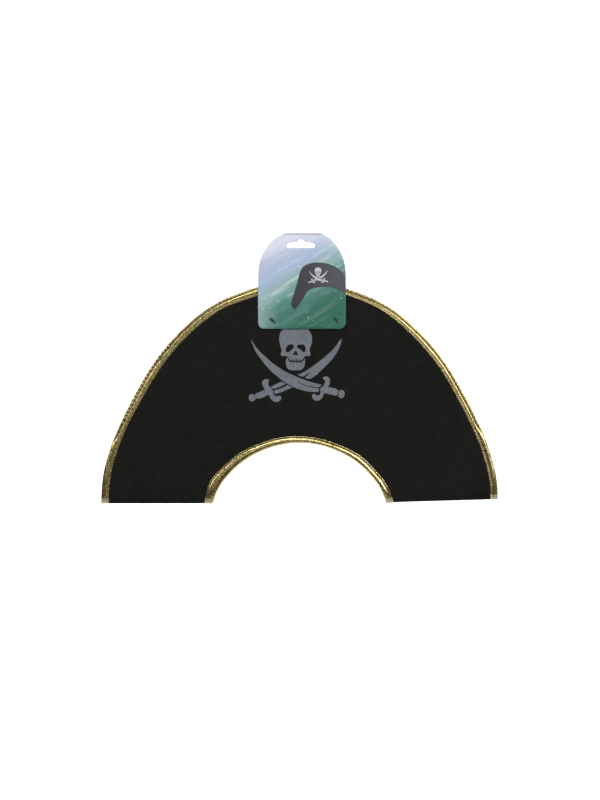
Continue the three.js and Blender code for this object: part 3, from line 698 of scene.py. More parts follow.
# ------------------------------------------------------------------ camera
cam = bpy.data.cameras.new("camera")
cam_ob = bpy.data.objects.new("camera", cam)
COL.objects.link(cam_ob)
DIST = 3.4
cam_ob.location = (0.0006, -DIST, 0.1174)
cam_ob.rotation_euler = (math.pi / 2, 0, 0)
cam.sensor_width = 36
cam.lens = 36 * (DIST - 0.004) / 0.912
cam.clip_end = 30
bpy.context.scene.camera = cam_ob


# ------------------------------------------------------------------ felt
def clipped(P, z0):
    """The stretch of a curve above z0, with its ends exactly there."""
    up = np.where(P[:, 1] >= z0)[0]
    i, j = up[0], up[-1]

    def at(a, b):
        k = (z0 - P[a, 1]) / (P[b, 1] - P[a, 1])
        return P[a] + k * (P[b] - P[a])

    head = [at(i - 1, i)] if i > 0 and P[i, 1] > z0 else []
    tail = [at(j + 1, j)] if j < len(P) - 1 and P[j, 1] > z0 else []
    return np.vstack([*[h[None] for h in head], P[i : j + 1], *[q[None] for q in tail]])


I_EDGE = INN_P + INN_N * TAPE_EDGE
O_EDGE = OUT_P + OUT_N * TAPE_EDGE


def panel_grid(side, nu=210, nv=84):
    I, _ = evenly(clipped(I_EDGE, Z_F), n=nu)
    O, _ = evenly(clipped(O_EDGE, Z_F), n=nu)
    v = np.linspace(0, 1, nv)[None, :, None]
    P = I[:, None, :] * (1 - v) + O[:, None, :] * v
    P[0, :, 1] = P[-1, :, 1] = Z_F
    y = side * depth(P[:, :, 0], P[:, :, 1], side)
    return np.stack([P[:, :, 0], y, P[:, :, 1]], 2)


def panel_area():
    I, O = clipped(I_EDGE, Z_F), clipped(O_EDGE, Z_F)
    poly = np.vstack([O, I[::-1]])
    x, z = poly[:, 0], poly[:, 1]
    return abs((x * np.roll(z, -1) - z * np.roll(x, -1)).sum()) / 2 * MM * MM


for side, label, part, nodes in (
    (-1, "front_felt", "brow", ("front_panel_arch", "front_panel_brow")),
    (1, "back_felt", "nape", ("back_panel_arch", "back_panel_nape")),
):
    M = panel_grid(side)
    V, F = thick(M, FELT_H)
    ob = make(label, V, F, FELT)
    bends(ob)
    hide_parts(*nodes)


def fold_grid(sign, nx=120):
    R = np.array([float(depth(np.array([sign * x]), np.array([Z_F]), -1)[0]) for x in np.linspace(98.7, 225.1, nx)])
    Rb = np.array([float(depth(np.array([sign * x]), np.array([Z_F]), 1)[0]) for x in np.linspace(98.7, 225.1, nx)])
    rows = []
    for i, x in enumerate(np.linspace(98.7, 225.1, nx)):
        line = [(-R[i], Z_F)]
        r = (R[i] + Rb[i]) / 2
        zc = FELT_H + r
        for a in np.linspace(0, math.pi, 19):
            yy = -math.cos(a) * (R[i] if a < math.pi / 2 else Rb[i])
            line.append((yy, zc - r * math.sin(a)))
        line.append((Rb[i], Z_F))
        rows.append([(sign * x, y, z) for y, z in line])
    return np.array(rows)


for sign, label in ((-1, "left_side_fold"), (1, "right_side_fold")):
    V, F = thick(fold_grid(sign), FELT_H)
    ob = make(label + "_felt", V, F, FELT)
    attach(ob, "shell")
    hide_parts(label)


# ------------------------------------------------------------------ binding tape
def tape_path(P, N, side):
    """Stations from the middle of one fold, up over the hat and down to the other fold."""
    Pc = clipped(P, Z_F)
    Q, t = evenly(Pc, step=0.5)
    T = tangents(Q)
    flip = 1 if (N is OUT_N) else -1
    S = np.stack([-T[:, 1], T[:, 0]], 1) * flip
    y = side * depth(Q[:, 0], Q[:, 1], side)
    base = np.stack([Q[:, 0], y, Q[:, 1]], 1)
    SS = np.stack([S[:, 0], np.zeros(len(S)), S[:, 1]], 1)
    NN = np.tile([0.0, side, 0.0], (len(S), 1))
    R = abs(y[0])

    def turn(x0, x1, sgn):
        rows = []
        zc = FELT_H + R
        for a in np.linspace(math.radians(87), 0, 12):
            k = a / math.radians(90)
            rows.append(
                (
                    (x0 + (x1 - x0) * k, side * R * math.cos(a), zc - R * math.sin(a)),
                    (sgn, 0, 0),
                    (0, side * math.cos(a), -math.sin(a)),
                )
            )
        return rows

    x_end = P[0, 0]
    first = turn(Q[0, 0], x_end, -1 if flip == 1 else 1)
    last = [
        ((-b[0], b[1], b[2]), (-s[0], 0, 0), n) for b, s, n in first[::-1]
    ]
    fb, fs, fn = (np.array(c, float) for c in zip(*first))
    lb, ls, ln = (np.array(c, float) for c in zip(*last))
    # let the direction across the tape swing evenly into the fold
    k = 14
    for i in range(k):
        w = (1 - i / k) ** 2
        SS[i] = SS[i] * (1 - w) + fs[0] * w
        SS[-1 - i] = SS[-1 - i] * (1 - w) + ls[0] * w
    SS /= np.linalg.norm(SS, axis=1)[:, None]
    base = np.vstack([fb, base, lb])
    SS = np.vstack([fs, SS, ls])
    NN = np.vstack([fn, NN, ln])
    d = np.concatenate([[0], np.cumsum(np.linalg.norm(np.diff(base, axis=0), axis=1))])
    return base, SS, NN, d


LIP = 1.9          # the stitching lies this far in from the tape's inner edge


def pillow(u):
    u = np.clip(u, 0, 1)
    return 4 * u * (1 - u)


def tape_rings(base, d, W, h, sewn, seed, puff, lift, seam, pitch=2.9):
    """Outline of the tape's cross-section at each station: outer leg, nose, inner leg, and back inside."""
    n = len(d)
    lip = W - LIP
    k1 = np.array([0, 0.04, 0.12, 0.24, 0.38, 0.54, 0.7, 0.84, 0.94])
    flat = smooth(0.5, 14, np.minimum(d, d[-1] - d))
    k2 = np.array([0, 0.05, 0.14, 0.26, 0.38, 0.5, 0.62, 0.74, 0.86, 0.95])
    k3 = np.array([0, 0.12, 0.3, 0.55, 0.8, 0.94, 1.0])
    spots = [a * seam for a in k1] + [seam + a * (lip - seam) for a in k2] + [lip + a * LIP for a in k3]
    spots = spots[::-1]

    def height(s, t, sign):
        k = seed + (0 if sign > 0 else 50)
        rib = np.sin(2 * math.pi * (t + 0.42 * s) / 2.5 + 2.0 * noise1(t, k + 1, 9, 40)) * (
            0.6 + 0.4 * noise1(t + 3 * s, k + 2, 10, 60)
        )
        crush = noise2(t, s, k + 3, 3.0, 9, 14)
        one = 1.2 * pillow(s / lip) ** 0.9
        u = np.clip(s / seam, 0, 1)
        fall = np.minimum(np.clip(u / 0.22, 0, 1), 1.0 - (u - 0.22) / 0.78)
        strip_top = pillow(u) * (1 - puff) + 1.15 * fall * puff
        two = np.where(s < seam, 0.30 * seam * strip_top, 1.1 * pillow((s - seam) / (lip - seam)) ** 0.9)
        edge = s > lip
        top = np.where(edge, 0.14 * pillow((s - lip) / LIP), one * (1 - sewn) + two * sewn) * (0.12 + 0.88 * flat)
        out = h + 0.24 + top
        calm = smooth(0, 1.0, s)
        out = out + (0.075 * rib + 0.04 * crush) * calm * (0.35 + 0.65 * np.minimum(1, np.abs(top) * 2))
        # the stitches draw the inner edge in
        draw = np.exp(-(((s - lip) / 0.5) ** 2))
        out = out - draw * (0.05 - 0.09 * np.cos(2 * math.pi * t / pitch))
        lipwave = edge * 0.10 * np.cos(2 * math.pi * t / pitch + 0.6) * pillow((s - lip) / LIP)
        out = out + lipwave
        strip = sewn * (s < seam) * pillow(s / seam) ** 0.7
        saw = np.sin(2 * math.pi * t / 4.9 + 0.35 * s + 0.8 * noise1(t, seed + 9, 20, 60))
        return out + strip * puff * 0.50 * saw * sign ** 2

    def leg(sign):
        pts = []
        for s in spots:
            r = 0.55 + 0.8 * flat
            nose = np.sqrt(np.clip(1 - (1 - np.clip(s / r, 0, 1)) ** 2, 0, 1))
            H = height(np.maximum(s, 0.001), d, sign) + (lift if sign < 0 else 0.0)
            pts.append((s, sign * H * nose))
        return pts

    front = leg(1)
    back = leg(-1)[::-1]
    # tucked edge of each leg, and the inner faces along the felt
    one = np.ones(n)
    inside = [(W, -(h + 0.05) * one), (W * 0.6, -(h + 0.05) * one), (1.25 * one, -(h + 0.05) * one)]
    inside += [(1.25 * one, (h + 0.05) * one), (W * 0.6, (h + 0.05) * one), (W, (h + 0.05) * one)]
    ring = front + back[1:] + inside
    return np.stack([np.stack([np.broadcast_to(s, (n,)), np.broadcast_to(q, (n,))], 1) for s, q in ring], 1)


# width of the bindings along the hat, by x, in mm
OUTER_W = ([-226, -222, -211, -201, -189, -171, -148, -115, -90, -60, -48, 0, 55, 76, 100, 120, 146, 171, 197, 215, 226],
           [8.8, 8.6, 8.6, 8.8, 9.8, 10.2, 9.8, 9.8, 9.2, 9.9, 10.0, 8.6, 7.4, 7.6, 8.0, 8.7, 9.0, 8.9, 8.9, 8.6, 8.6])
INNER_W = ([-99, -97, -94, -90, -84, -78, -68, -56, -45, -20, 0, 35, 47, 60, 74, 84, 90, 99],
           [9.6, 10.6, 12.2, 12.4, 11.8, 10.8, 10.6, 10.0, 8.8, 8.5, 7.7, 7.2, 7.6, 8.3, 8.0, 7.7, 8.2, 9.0])


def strip_uv(rings, d):
    k = rings.shape[1]
    d = np.minimum(d, d[-1] - d)
    across = np.concatenate(
        [np.zeros((len(d), 1)), np.cumsum(np.linalg.norm(np.diff(rings, axis=1), axis=2), axis=1)], axis=1
    )
    return np.stack([np.repeat(d[:, None], k, 1), across], 2).reshape(-1, 2)


def groove_uv(ob, rings, d, seam, lip, puff, seed):
    """Distance across the tape from the two rows of stitches, in metres, and the strength of the painted shade in the
    puckers' creases.
    """
    s, t = rings[:, :, 0], d[:, None]
    saw = np.sin(2 * math.pi * t / 4.9 + 0.35 * s + 0.8 * noise1(t, seed + 9, 20, 60))
    u = s / seam[:, None]
    # mask for the painted shade in the creases between the puckers
    pucker_shade_mask = (u > 0.12) * (u < 0.94) * puff[:, None] * (0.62 - 0.5 * saw)
    sheets = {
        "grooves": np.stack([s - seam[:, None], s - lip[:, None]], 2) * MM,
        "puckers": np.stack([pucker_shade_mask, u], 2),
    }
    idx = np.empty(len(ob.data.loops), dtype=np.int32)
    ob.data.loops.foreach_get("vertex_index", idx)
    for name, uv in sheets.items():
        layer = ob.data.uv_layers.new(name=name)
        layer.data.foreach_set("uv", uv.reshape(-1, 2)[idx].astype(np.float32).ravel())


def dashes(name, pos, along, normal, mat, r=0.24, flat=0.7):
    """Short capsule stitches: pos (n, 3) centres, along (n, 3) half-length vectors, normal (n, 3)."""
    sides = 8
    prof = [(-1.0, 0.0), (-0.94, 0.6), (-0.8, 0.95), (0.0, 1.08), (0.8, 0.95), (0.94, 0.6), (1.0, 0.0)]
    V, F = [], []
    for c, a, n in zip(pos, along, normal):
        L = np.linalg.norm(a)
        u = a / L
        b = np.cross(u, n)
        b /= np.linalg.norm(b)
        base = len(V)
        for k, (q, w) in enumerate(prof):
            if w == 0:
                V.append(c + u * L * q)
                continue
            for j in range(sides):
                th = 2 * math.pi * j / sides
                V.append(c + u * L * q + b * (r * w * math.cos(th)) + n * (r * flat * w * math.sin(th)))
        rings = [base + 1 + sides * k for k in range(len(prof) - 2)]
        tip = base + 1 + sides * (len(prof) - 2)
        for j in range(sides):
            F.append((base, rings[0] + (j + 1) % sides, rings[0] + j))
            F.append((tip, rings[-1] + j, rings[-1] + (j + 1) % sides))
        for r0, r1 in zip(rings, rings[1:]):
            for j in range(sides):
                F.append((r0 + j, r0 + (j + 1) % sides, r1 + (j + 1) % sides, r1 + j))
    return make(name, np.array(V), F, mat)


def stitch_line(name, base, S, N, d, s, height, pitch, keep=None, mat=None, r=0.22):
    """Stitches along the tape at distance s in from its edge, lying at the given height."""
    P = base + S * s[:, None] + N * height[:, None]
    total = d[-1]
    mids = np.arange(pitch, total - pitch, pitch)
    at = lambda A, t: np.stack([np.interp(t, d, A[:, k]) for k in range(3)], 1)
    a, b = at(P, mids - pitch * 0.40), at(P, mids + pitch * 0.40)
    n = at(N, mids)
    n /= np.linalg.norm(n, axis=1)[:, None]
    ok = np.ones(len(mids), bool) if keep is None else keep(at(base, mids))
    return dashes(name, ((a + b) / 2)[ok], ((b - a) / 2)[ok], n[ok], mat or THREADM, r)


for side, label, part in ((-1, "front", "brow"), (1, "back", "nape")):
    # outer edge
    base, S, N, d = tape_path(OUT_P, OUT_N, side)
    x, z = base[:, 0], base[:, 2]
    notch = np.where(x > 0, NOTCH[1], NOTCH[-1])
    sewn = smooth(-3, 3, z - notch)
    W = soften(np.interp(x, *OUTER_W)[:, None], 12)[:, 0] + 0.13 * noise1(d, 31 + side, 5, 18)
    puff = 0.12 + 0.88 * smooth(85, 100, z) * smooth(196, 168, z) * (x < 0) + 0.15 * np.clip(noise1(d, 77 + side, 30, 120), 0, 1)
    base = base + S * (-0.12 * sewn * puff * np.sin(2 * math.pi * d / 4.9))[:, None]
    seam = 0.7 + (SEAM_IN - 0.7 + 0.7 * puff) * smooth(0, 15, z - notch + 2)
    rings = tape_rings(base, d, W, FELT_H, sewn, 40 if side < 0 else 90, puff, 0.0, seam)
    V, F = swept(base, S, N, rings)
    ob = make(label + "_outer_tape", V, F, TAPE, uv=strip_uv(rings, d))
    groove_uv(ob, rings, d, seam + 20 * (1 - sewn), W - LIP, puff * sewn, 40 if side < 0 else 90)
    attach(ob, "shell")
    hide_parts(label + "_outer_trim")
    lift = (FELT_H + 0.24 + 0.10) * np.ones(len(d))
    ob = stitch_line(label + "_outer_tape_stitches", base, S, N, d, W - LIP, lift, 2.9)
    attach(ob, "shell")
    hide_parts(label + "_outer_trim_thread")
    lift = (FELT_H + 0.24 + 0.08) * np.ones(len(d))
    ob = stitch_line(
        label + "_edge_seam_stitches", base, S, N, d, seam, lift, 3.1, r=0.16,
        keep=lambda B: B[:, 2] > np.where(B[:, 0] > 0, NOTCH[1], NOTCH[-1]) + 2,
    )
    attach(ob, "shell")
    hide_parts("edge_seam_needle_thread" if side < 0 else "edge_seam_bobbin_thread")
    # head opening
    base, S, N, d = tape_path(INN_P, INN_N, side)
    W = soften(np.interp(base[:, 0], *INNER_W)[:, None], 5)[:, 0] + 0.12 * noise1(d, 61 + side, 5, 18)
    rings = tape_rings(base, d, W, FELT_H, np.zeros(len(d)), 140 if side < 0 else 190, np.zeros(len(d)), 0.0, np.full(len(d), SEAM_IN))
    V, F = swept(base, S, N, rings)
    ob = make(label + "_inner_tape", V, F, TAPE, uv=strip_uv(rings, d))
    groove_uv(ob, rings, d, np.full(len(d), 40.0), W - LIP, np.zeros(len(d)), 0)
    bends(ob)
    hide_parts(label + "_inner_trim")
    lift = (FELT_H + 0.24 + 0.10) * np.ones(len(d))
    ob = stitch_line(label + "_inner_tape_stitches", base, S, N, d, W - LIP, lift, 2.9)
    bends(ob)
    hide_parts(label + "_inner_trim_thread")


# ------------------------------------------------------------------ print
def rounded(outline, step=0.4, corner=48):
    """A closed outline drawn as smooth curves between its sharp corners."""
    P = np.array(outline, float)
    n = len(P)
    a = P - np.roll(P, 1, 0)
    b = np.roll(P, -1, 0) - P
    turn = np.degrees(np.arccos(np.clip((a * b).sum(1) / np.linalg.norm(a, axis=1) / np.linalg.norm(b, axis=1), -1, 1)))
    sharp = [i for i in range(n) if turn[i] > corner]
    if len(sharp) < 2:
        Q = np.vstack([P[-3:], P, P[:4]])
        C = catmull(Q, 10)
        C = C[30 : 30 + 10 * n]
        return evenly(C, step=step, closed=True)[0][:-1]
    out = []
    for i, j in zip(sharp, sharp[1:] + [sharp[0] + n]):
        seg = P[[k % n for k in range(i, j + 1)]]
        C = catmull(seg, 10) if len(seg) > 2 else seg
        out.append(evenly(C, n=max(2, int(np.linalg.norm(np.diff(C, axis=0), axis=1).sum() / step) + 1))[0][:-1])
    return np.vstack(out)


def filled(groups, cell, lines_z=None):
    """Flat faces inside the first loop of each group and outside its others, cut along a square grid.

    groups is [(material, [outline, hole, ...])]; a loop shared by two groups is the same object."""
    bm = bmesh.new()
    edges, every = {}, []
    for _, loops in groups:
        for loop in loops:
            if id(loop) in edges:
                continue
            vs = [bm.verts.new((x, z, 0)) for x, z in loop]
            edges[id(loop)] = [bm.edges.new((p, q)) for p, q in zip(vs, vs[1:] + vs[:1])]
            every.append(np.array(loop))
    for index, loops in groups:
        es = [e for loop in loops for e in edges[id(loop)]]
        res = bmesh.ops.triangle_fill(bm, edges=es, use_beauty=True, use_dissolve=False)
        for g in res["geom"]:
            if isinstance(g, bmesh.types.BMFace):
                g.material_index = index
    P = np.vstack(every)
    x0, z0 = P.min(0)
    x1, z1 = P.max(0)
    xs = list(np.arange(math.floor(x0 / cell) * cell + cell * 0.501, x1, cell))
    zs = list(np.arange(math.floor(z0 / cell) * cell + cell * 0.501, z1, cell)) if lines_z is None else lines_z
    for axis, lines in ((0, xs), (1, zs)):
        for c in lines:
            co, no = [0, 0, 0], [0, 0, 0]
            co[axis], no[axis] = c, 1
            bmesh.ops.bisect_plane(bm, geom=bm.verts[:] + bm.edges[:] + bm.faces[:], dist=1e-5, plane_co=co, plane_no=no)
    bmesh.ops.triangulate(bm, faces=[f for f in bm.faces if len(f.verts) > 4])
    bm.normal_update()
    bm.verts.index_update()
    V = np.array([v.co[:2] for v in bm.verts])
    F, mats = [], []
    for f in bm.faces:
        ids = [v.index for v in f.verts]
        F.append(ids if f.normal.z > 0 else ids[::-1])
        mats.append(f.material_index)
    have = set()
    for f in F:
        for p, q in zip(f, f[1:] + f[:1]):
            have.add((p, q))
    rim = [tuple(v.index for v in e.verts) for e in bm.edges if len(e.link_faces) == 1]
    rim = [(p, q) if (p, q) in have else (q, p) for p, q in rim]
    bm.free()
    return V, F, rim, mats


def slab(name, V2, F, rim, top, bottom, mats, index=None, uv=None):
    """A closed solid between two surfaces given at the same flat points."""
    n = len(V2)
    V = np.vstack([top, bottom])
    faces = [list(f) for f in F] + [[i + n for i in f][::-1] for f in F]
    faces += [[q, p, p + n, q + n] for p, q in rim]
    if uv is not None:
        uv = np.vstack([uv, uv])
    ob = make(name, V, faces, mats[0], uv=uv)
    for extra in mats[1:]:
        ob.data.materials.append(extra)
    if index is not None:
        ob.data.polygons.foreach_set("material_index", list(index) + [0] * (len(faces) - len(index)))
    return ob


PRINTS = {
    "print_skull": ("skull_ink", [SKULL, EYE_L, EYE_R, NOSE]),
    "print_jaw": ("jaw_ink", [JAW]),
    "print_front_blade": ("front_blade_ink", [BLADE_A]),
    "print_rear_blade_upper": ("rear_blade_upper_ink", [BLADE_B]),
    "print_rear_blade_edge": ("rear_blade_edge_ink", [BLADE_B2]),
    "print_rear_blade_back": ("rear_blade_back_ink", [BLADE_B3]),
    "print_right_hilt": ("right_hilt_ink", [HILT_R]),
    "print_right_pommel": ("right_pommel_ink", [POMMEL_R, POMMEL_R_HOLE]),
    "print_left_hilt": ("left_hilt_ink", [HILT_L]),
    "print_left_pommel": ("left_pommel_ink", [POMMEL_L, POMMEL_L_HOLE]),
}
for node, (name, loops) in PRINTS.items():
    V2, F, rim, _ = filled([(0, [rounded(l) for l in loops])], 2.5)
    y = -(depth(V2[:, 0], V2[:, 1], -1) + FELT_H)
    top = np.stack([V2[:, 0], y - 0.13, V2[:, 1]], 1)
    low = np.stack([V2[:, 0], y + 0.08, V2[:, 1]], 1)
    ob = slab(name, V2, F, rim, top, low, [PRINT])
    ob.data.polygons.foreach_set("use_smooth", [False] * len(ob.data.polygons))
    bends(ob)
    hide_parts(node)


# ------------------------------------------------------------------ header card
CARD_FOLD = 307.8
CARD_HALF = 0.19
_z = np.concatenate([np.linspace(198.4, 300, 300), CARD_FOLD - (CARD_FOLD - 300) * (1 - np.linspace(0, 1, 300)) ** 2])
_z = np.unique(np.round(_z, 6))
_u = np.clip((_z - 250) / (CARD_FOLD - 250), 0, 1)
_y = 5.55 + 0.75 * smooth(222, 198, _z) - 0.75 * smooth(225, 252, _z)
_y = _y * (1 - _u) ** 1.15 + 0.62 * np.sqrt(np.clip(1 - np.clip((_z - 306.4) / 1.4, 0, 1) ** 2, 0, 1)) * _u
_tau = np.concatenate([[0], np.cumsum(np.hypot(np.diff(_z), np.diff(_y)))])
CARD_L = _tau[-1]

CARD_RIGHT = [(46.6, 198.4), (50.8, 200.6), (53, 205.2), (53, 232), (53, 262), (52.3, 270), (50.0, 279), (45.9, 288), (39.9, 296.8), (32.9, 303.6), (24.5, CARD_FOLD)]
CARD_LEFT = [(-41.2, 198.4), (-45.2, 200.6), (-47.3, 205.2), (-47.3, 232), (-47.3, 262), (-46.6, 270), (-44.2, 279), (-39.9, 288), (-33.6, 296.8), (-26, 303.6), (-16.5, CARD_FOLD)]
SLOT_X, SLOT_Z, SLOT_W, SLOT_H = 1.7, 293.8, 32.0, 5.6


def card_tau(z):
    return np.interp(z, _z, _tau)


def card_at(tau):
    """(y, z, normal y, normal z, height for the print) on the card's mid-surface; tau runs over the fold."""
    tau = np.asarray(tau, float)
    back = tau > CARD_L
    t = np.where(back, 2 * CARD_L - tau, tau)
    z, y = np.interp(t, _tau, _z), np.interp(t, _tau, _y)
    e = 0.4
    dz = np.interp(t + e, _tau, _z) - np.interp(t - e, _tau, _z)
    dy = np.interp(t + e, _tau, _y) - np.interp(t - e, _tau, _y)
    near = t > CARD_L - e
    dz, dy = np.where(near, 0.0, dz), np.where(near, -1.0, dy)
    l = np.hypot(dz, dy)
    ny, nz = dz / l, -dy / l                      # outward on the front leaf, where y is measured outwards
    s = np.where(back, 1.0, -1.0)
    return s * y, z, s * ny, nz, np.where(back, 2 * CARD_FOLD - z, z)


def card_loops():
    R, L = np.array(CARD_RIGHT, float), np.array(CARD_LEFT, float)

    def edge(pts):
        head = evenly(pts[2:4], step=2.5)[0]
        arch = evenly(catmull(pts[4:].tolist(), 12), step=2.0)[0]
        corner = evenly(catmull(pts[:3].tolist(), 6), step=1.2)[0]
        return np.vstack([corner[:-1], head[:-1], evenly(pts[3:5], step=2.5)[0][:-1], arch])

    r, l = edge(R), edge(L)
    fr = np.stack([r[:, 0], card_tau(r[:, 1])], 1)
    fl = np.stack([l[:, 0], card_tau(l[:, 1])], 1)
    br = np.stack([fr[:, 0], 2 * CARD_L - fr[:, 1]], 1)[::-1][1:]
    bl = np.stack([fl[:, 0], 2 * CARD_L - fl[:, 1]], 1)[::-1][1:]
    right = np.vstack([fr, br])
    left = np.vstack([fl, bl])
    outline = np.vstack([right, left[::-1]])
    h, w = SLOT_H / 2, SLOT_W / 2 - SLOT_H / 2
    pts = [(SLOT_X + w + h * math.cos(a), SLOT_Z + h * math.sin(a)) for a in np.linspace(-math.pi / 2, math.pi / 2, 9)]
    pts += [(SLOT_X + 5.2 * math.cos(a), SLOT_Z + 1.6 + 5.2 * math.sin(a)) for a in np.linspace(0.14 * math.pi, 0.86 * math.pi, 11)]
    pts += [(SLOT_X - w + h * math.cos(a), SLOT_Z + h * math.sin(a)) for a in np.linspace(math.pi / 2, 1.5 * math.pi, 9)]
    front = np.array([(x, float(card_tau(z))) for x, z in pts])
    back = np.stack([front[:, 0], 2 * CARD_L - front[:, 1]], 1)
    holes = [front, back]
    for px, pz in PINS.values():
        for b in (0, 1):
            c = float(card_tau(pz))
            c = 2 * CARD_L - c if b else c
            holes.append(np.array([(px + 0.75 * math.cos(a), c + 0.75 * math.sin(a)) for a in np.linspace(0, 2 * math.pi, 12, endpoint=False)]))
    return outline, holes


def card_groups():
    """The card's front cut along its printed picture: a plain hat with its own small skull and swords."""
    outline, holes = card_loops()

    def on_card(loop):
        return np.array([(x, float(card_tau(z))) for x, z in loop])

    def small(loop):
        P = rounded(loop, step=1.7)
        return on_card([(21.4 + 0.205 * (x + 3.1), 259.6 + 0.205 * (z - 159.4)) for x, z in P])

    hat = on_card(rounded(HAT_PICTURE, step=1.2, corner=60))
    skull, eyes = small(SKULL), [small(EYE_L), small(EYE_R), small(NOSE)]
    rest = [small(l) for l in (JAW, BLADE_A, BLADE_B, BLADE_B2, BLADE_B3, HILT_R, POMMEL_R, HILT_L, POMMEL_L)]
    groups = [(0, [outline] + holes + [hat]), (1, [hat, skull] + rest), (2, [skull] + eyes)]
    groups += [(1, [e]) for e in eyes] + [(2, [r]) for r in rest]
    return groups


def centre(node):
    lo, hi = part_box(node)
    return [(a + b) / 2 / MM for a, b in zip(lo, hi)]


PINS = {n: (centre(n)[0], centre(n)[2]) for n in ("left_tag_pin", "right_tag_pin")}
fine = [CARD_L + q for q in (-6, -4, -3, -2.2, -1.6, -1.1, -0.7, -0.4, -0.15, 0.15, 0.4, 0.7, 1.1, 1.6, 2.2, 3, 4, 6)]
rows_ = sorted(list(np.arange(3.1, CARD_L - 7, 3.2)) + fine + list(CARD_L * 2 - np.arange(3.1, CARD_L - 7, 3.2)))
V2, F, rim, index = filled(card_groups(), 4.0, lines_z=rows_)
y, z, ny, nz, hz = card_at(V2[:, 1])
bow = 0.35 * noise2(V2[:, 0], V2[:, 1], 5, 60, 160) + 0.5 * ((V2[:, 0] - 3) / 50.0) ** 2 * smooth(240, 200, z)
s = np.where(V2[:, 1] > CARD_L, 1.0, -1.0)
y = y + s * bow * smooth(0, 40, np.abs(V2[:, 1] - CARD_L))
top = np.stack([V2[:, 0], y + ny * CARD_HALF, z + nz * CARD_HALF], 1)
low = np.stack([V2[:, 0], y - ny * CARD_HALF, z - nz * CARD_HALF], 1)
card = slab("folded_card", V2, F, rim, top, low, [CARDM, PICTURE, PICTURE_PALE], index, uv=np.stack([V2[:, 0], hz], 1))
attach(card, "shell")
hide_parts("header_card")


# ------------------------------------------------------------------ tag pins
def pin_piece(node, body, tilt=math.radians(-40)):
    lo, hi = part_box(node)
    cx, cz = PINS[node]
    y0, y1 = lo[1] / MM + 0.62, hi[1] / MM - 0.62
    V, F = [], []

    def tube(path, radii, sides=14, squash=1.0, up=(0, 1, 0)):
        base = len(V)
        path = np.array(path, float)
        T = tangents(path)
        up = np.array(up, float)
        for p, t, r in zip(path, T, radii):
            a = np.cross(t, up)
            a /= np.linalg.norm(a)
            b = np.cross(a, t)
            for j in range(sides):
                th = 2 * math.pi * j / sides
                V.append(p + a * r * math.cos(th) + b * r * squash * math.sin(th))
        n = len(path)
        for i in range(n - 1):
            for j in range(sides):
                q = base + i * sides
                F.append((q + j, q + (j + 1) % sides, q + sides + (j + 1) % sides, q + sides + j))
        F.append(tuple(base + j for j in range(sides))[::-1])
        F.append(tuple(base + (n - 1) * sides + j for j in range(sides)))

    ux, uz = math.cos(tilt), math.sin(tilt)
    for y in (y0, y1):
        L = 4.2
        s = np.concatenate([-L + 0.6 * (1 - np.cos(np.linspace(0, math.pi / 2, 6))), np.linspace(-L + 0.8, L - 0.8, 14), (L - 0.6 * (1 - np.cos(np.linspace(0, math.pi / 2, 6))))[::-1]])
        r = []
        for q in s:
            e = L - abs(q)
            r.append(0.60 * math.sqrt(max(0.02, 1 - (1 - min(e / 0.6, 1)) ** 2)) + 0.10 * math.exp(-((q / 0.9) ** 2)))
        tube([(cx + ux * q, y, cz + uz * q) for q in s], r)
    ys = np.linspace(y0 + 0.1, y1 - 0.1, 12)
    tube([(cx, q, cz) for q in ys], [0.42 + 0.25 * math.exp(-min(q - y0, y1 - q) / 0.5) for q in ys], sides=12, up=(0, 0, 1))
    ob = make(node.replace("_tag_pin", "_staple_pin"), V, F, NYLON)
    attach(ob, body)
    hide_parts(node)
    return ob


pin_piece("left_tag_pin", "left_pin")
pin_piece("right_tag_pin", "right_pin", math.radians(-58))


# ------------------------------------------------------------------ area of one felt panel
area = panel_area()


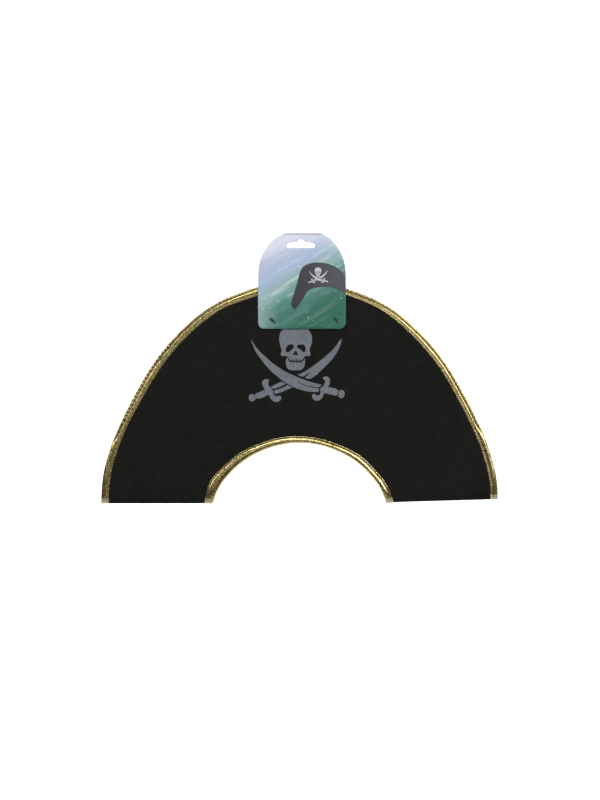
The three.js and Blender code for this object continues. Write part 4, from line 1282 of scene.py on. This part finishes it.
# ------------------------------------------------------------------ stage and light
def stage():
    m = Tree("stage")
    p = m.coords()
    col = m.ramp(m.noise(p, 3, 2), [(0.3, (0.93, 0.93, 0.93)), (0.7, (0.95, 0.95, 0.95))])
    m.link(col, m.b.inputs["Base Color"])
    mat = m.set(Roughness=0.9, Specular_IOR_Level=0.1)
    rows = []
    floor, back, r = -0.46, 1.7, 0.9
    path = [(-0.7, floor), (-0.3, floor), (0.2, floor)]
    path += [(back - r + r * math.sin(a), floor + r - r * math.cos(a)) for a in np.linspace(0, math.pi / 2, 14)]
    path += [(back, 1.5), (back, 4.5)]
    V = [(x, y, z) for y, z in path for x in np.linspace(-6, 6, 9)]
    F = grid_faces(len(path), 9)
    me = bpy.data.meshes.new("sweep")
    me.from_pydata(V, [], F)
    me.polygons.foreach_set("use_smooth", [True] * len(me.polygons))
    ob = bpy.data.objects.new("sweep", me)
    me.materials.append(mat)
    COL.objects.link(ob)


stage()


def area_light(name, loc, target, size, power, color=(1, 1, 1)):
    l = bpy.data.lights.new(name, "AREA")
    l.shape = "RECTANGLE"
    l.size, l.size_y = size
    l.energy = power
    l.color = color
    ob = bpy.data.objects.new(name, l)
    ob.location = loc
    d = np.array(target, float) - np.array(loc, float)
    from mathutils import Vector

    ob.rotation_euler = Vector(d).to_track_quat("-Z", "Y").to_euler()
    COL.objects.link(ob)
    return ob


area_light("key", (1.6, -2.3, 1.5), (0, 0, 0.12), (1.5, 1.4), 62)
area_light("front", (-0.45, -3.3, 0.85), (0, 0, 0.12), (0.7, 0.5), 4)
area_light("left", (-2.3, -1.9, 1.4), (0, 0, 0.12), (0.7, 0.7), 17)
area_light("top", (-0.4, -1.5, 2.2), (0, 0, 0.1), (1.6, 0.6), 28)
area_light("back_left", (-1.15, 0.45, 0.25), (-0.75, 1.95, 0.25), (0.5, 1.8), 30)
area_light("back_right", (1.15, 0.45, 0.25), (0.75, 1.95, 0.25), (0.5, 1.8), 30)
world = bpy.data.worlds.new("studio")
bpy.context.scene.world = world
world.use_nodes = True
bg = world.node_tree.nodes["Background"]
bg.inputs[0].default_value = (1, 1, 1, 1)
bg.inputs[1].default_value = 0.05
bpy.context.scene.view_settings.view_transform = "Standard"
bpy.context.scene.view_settings.look = "None"
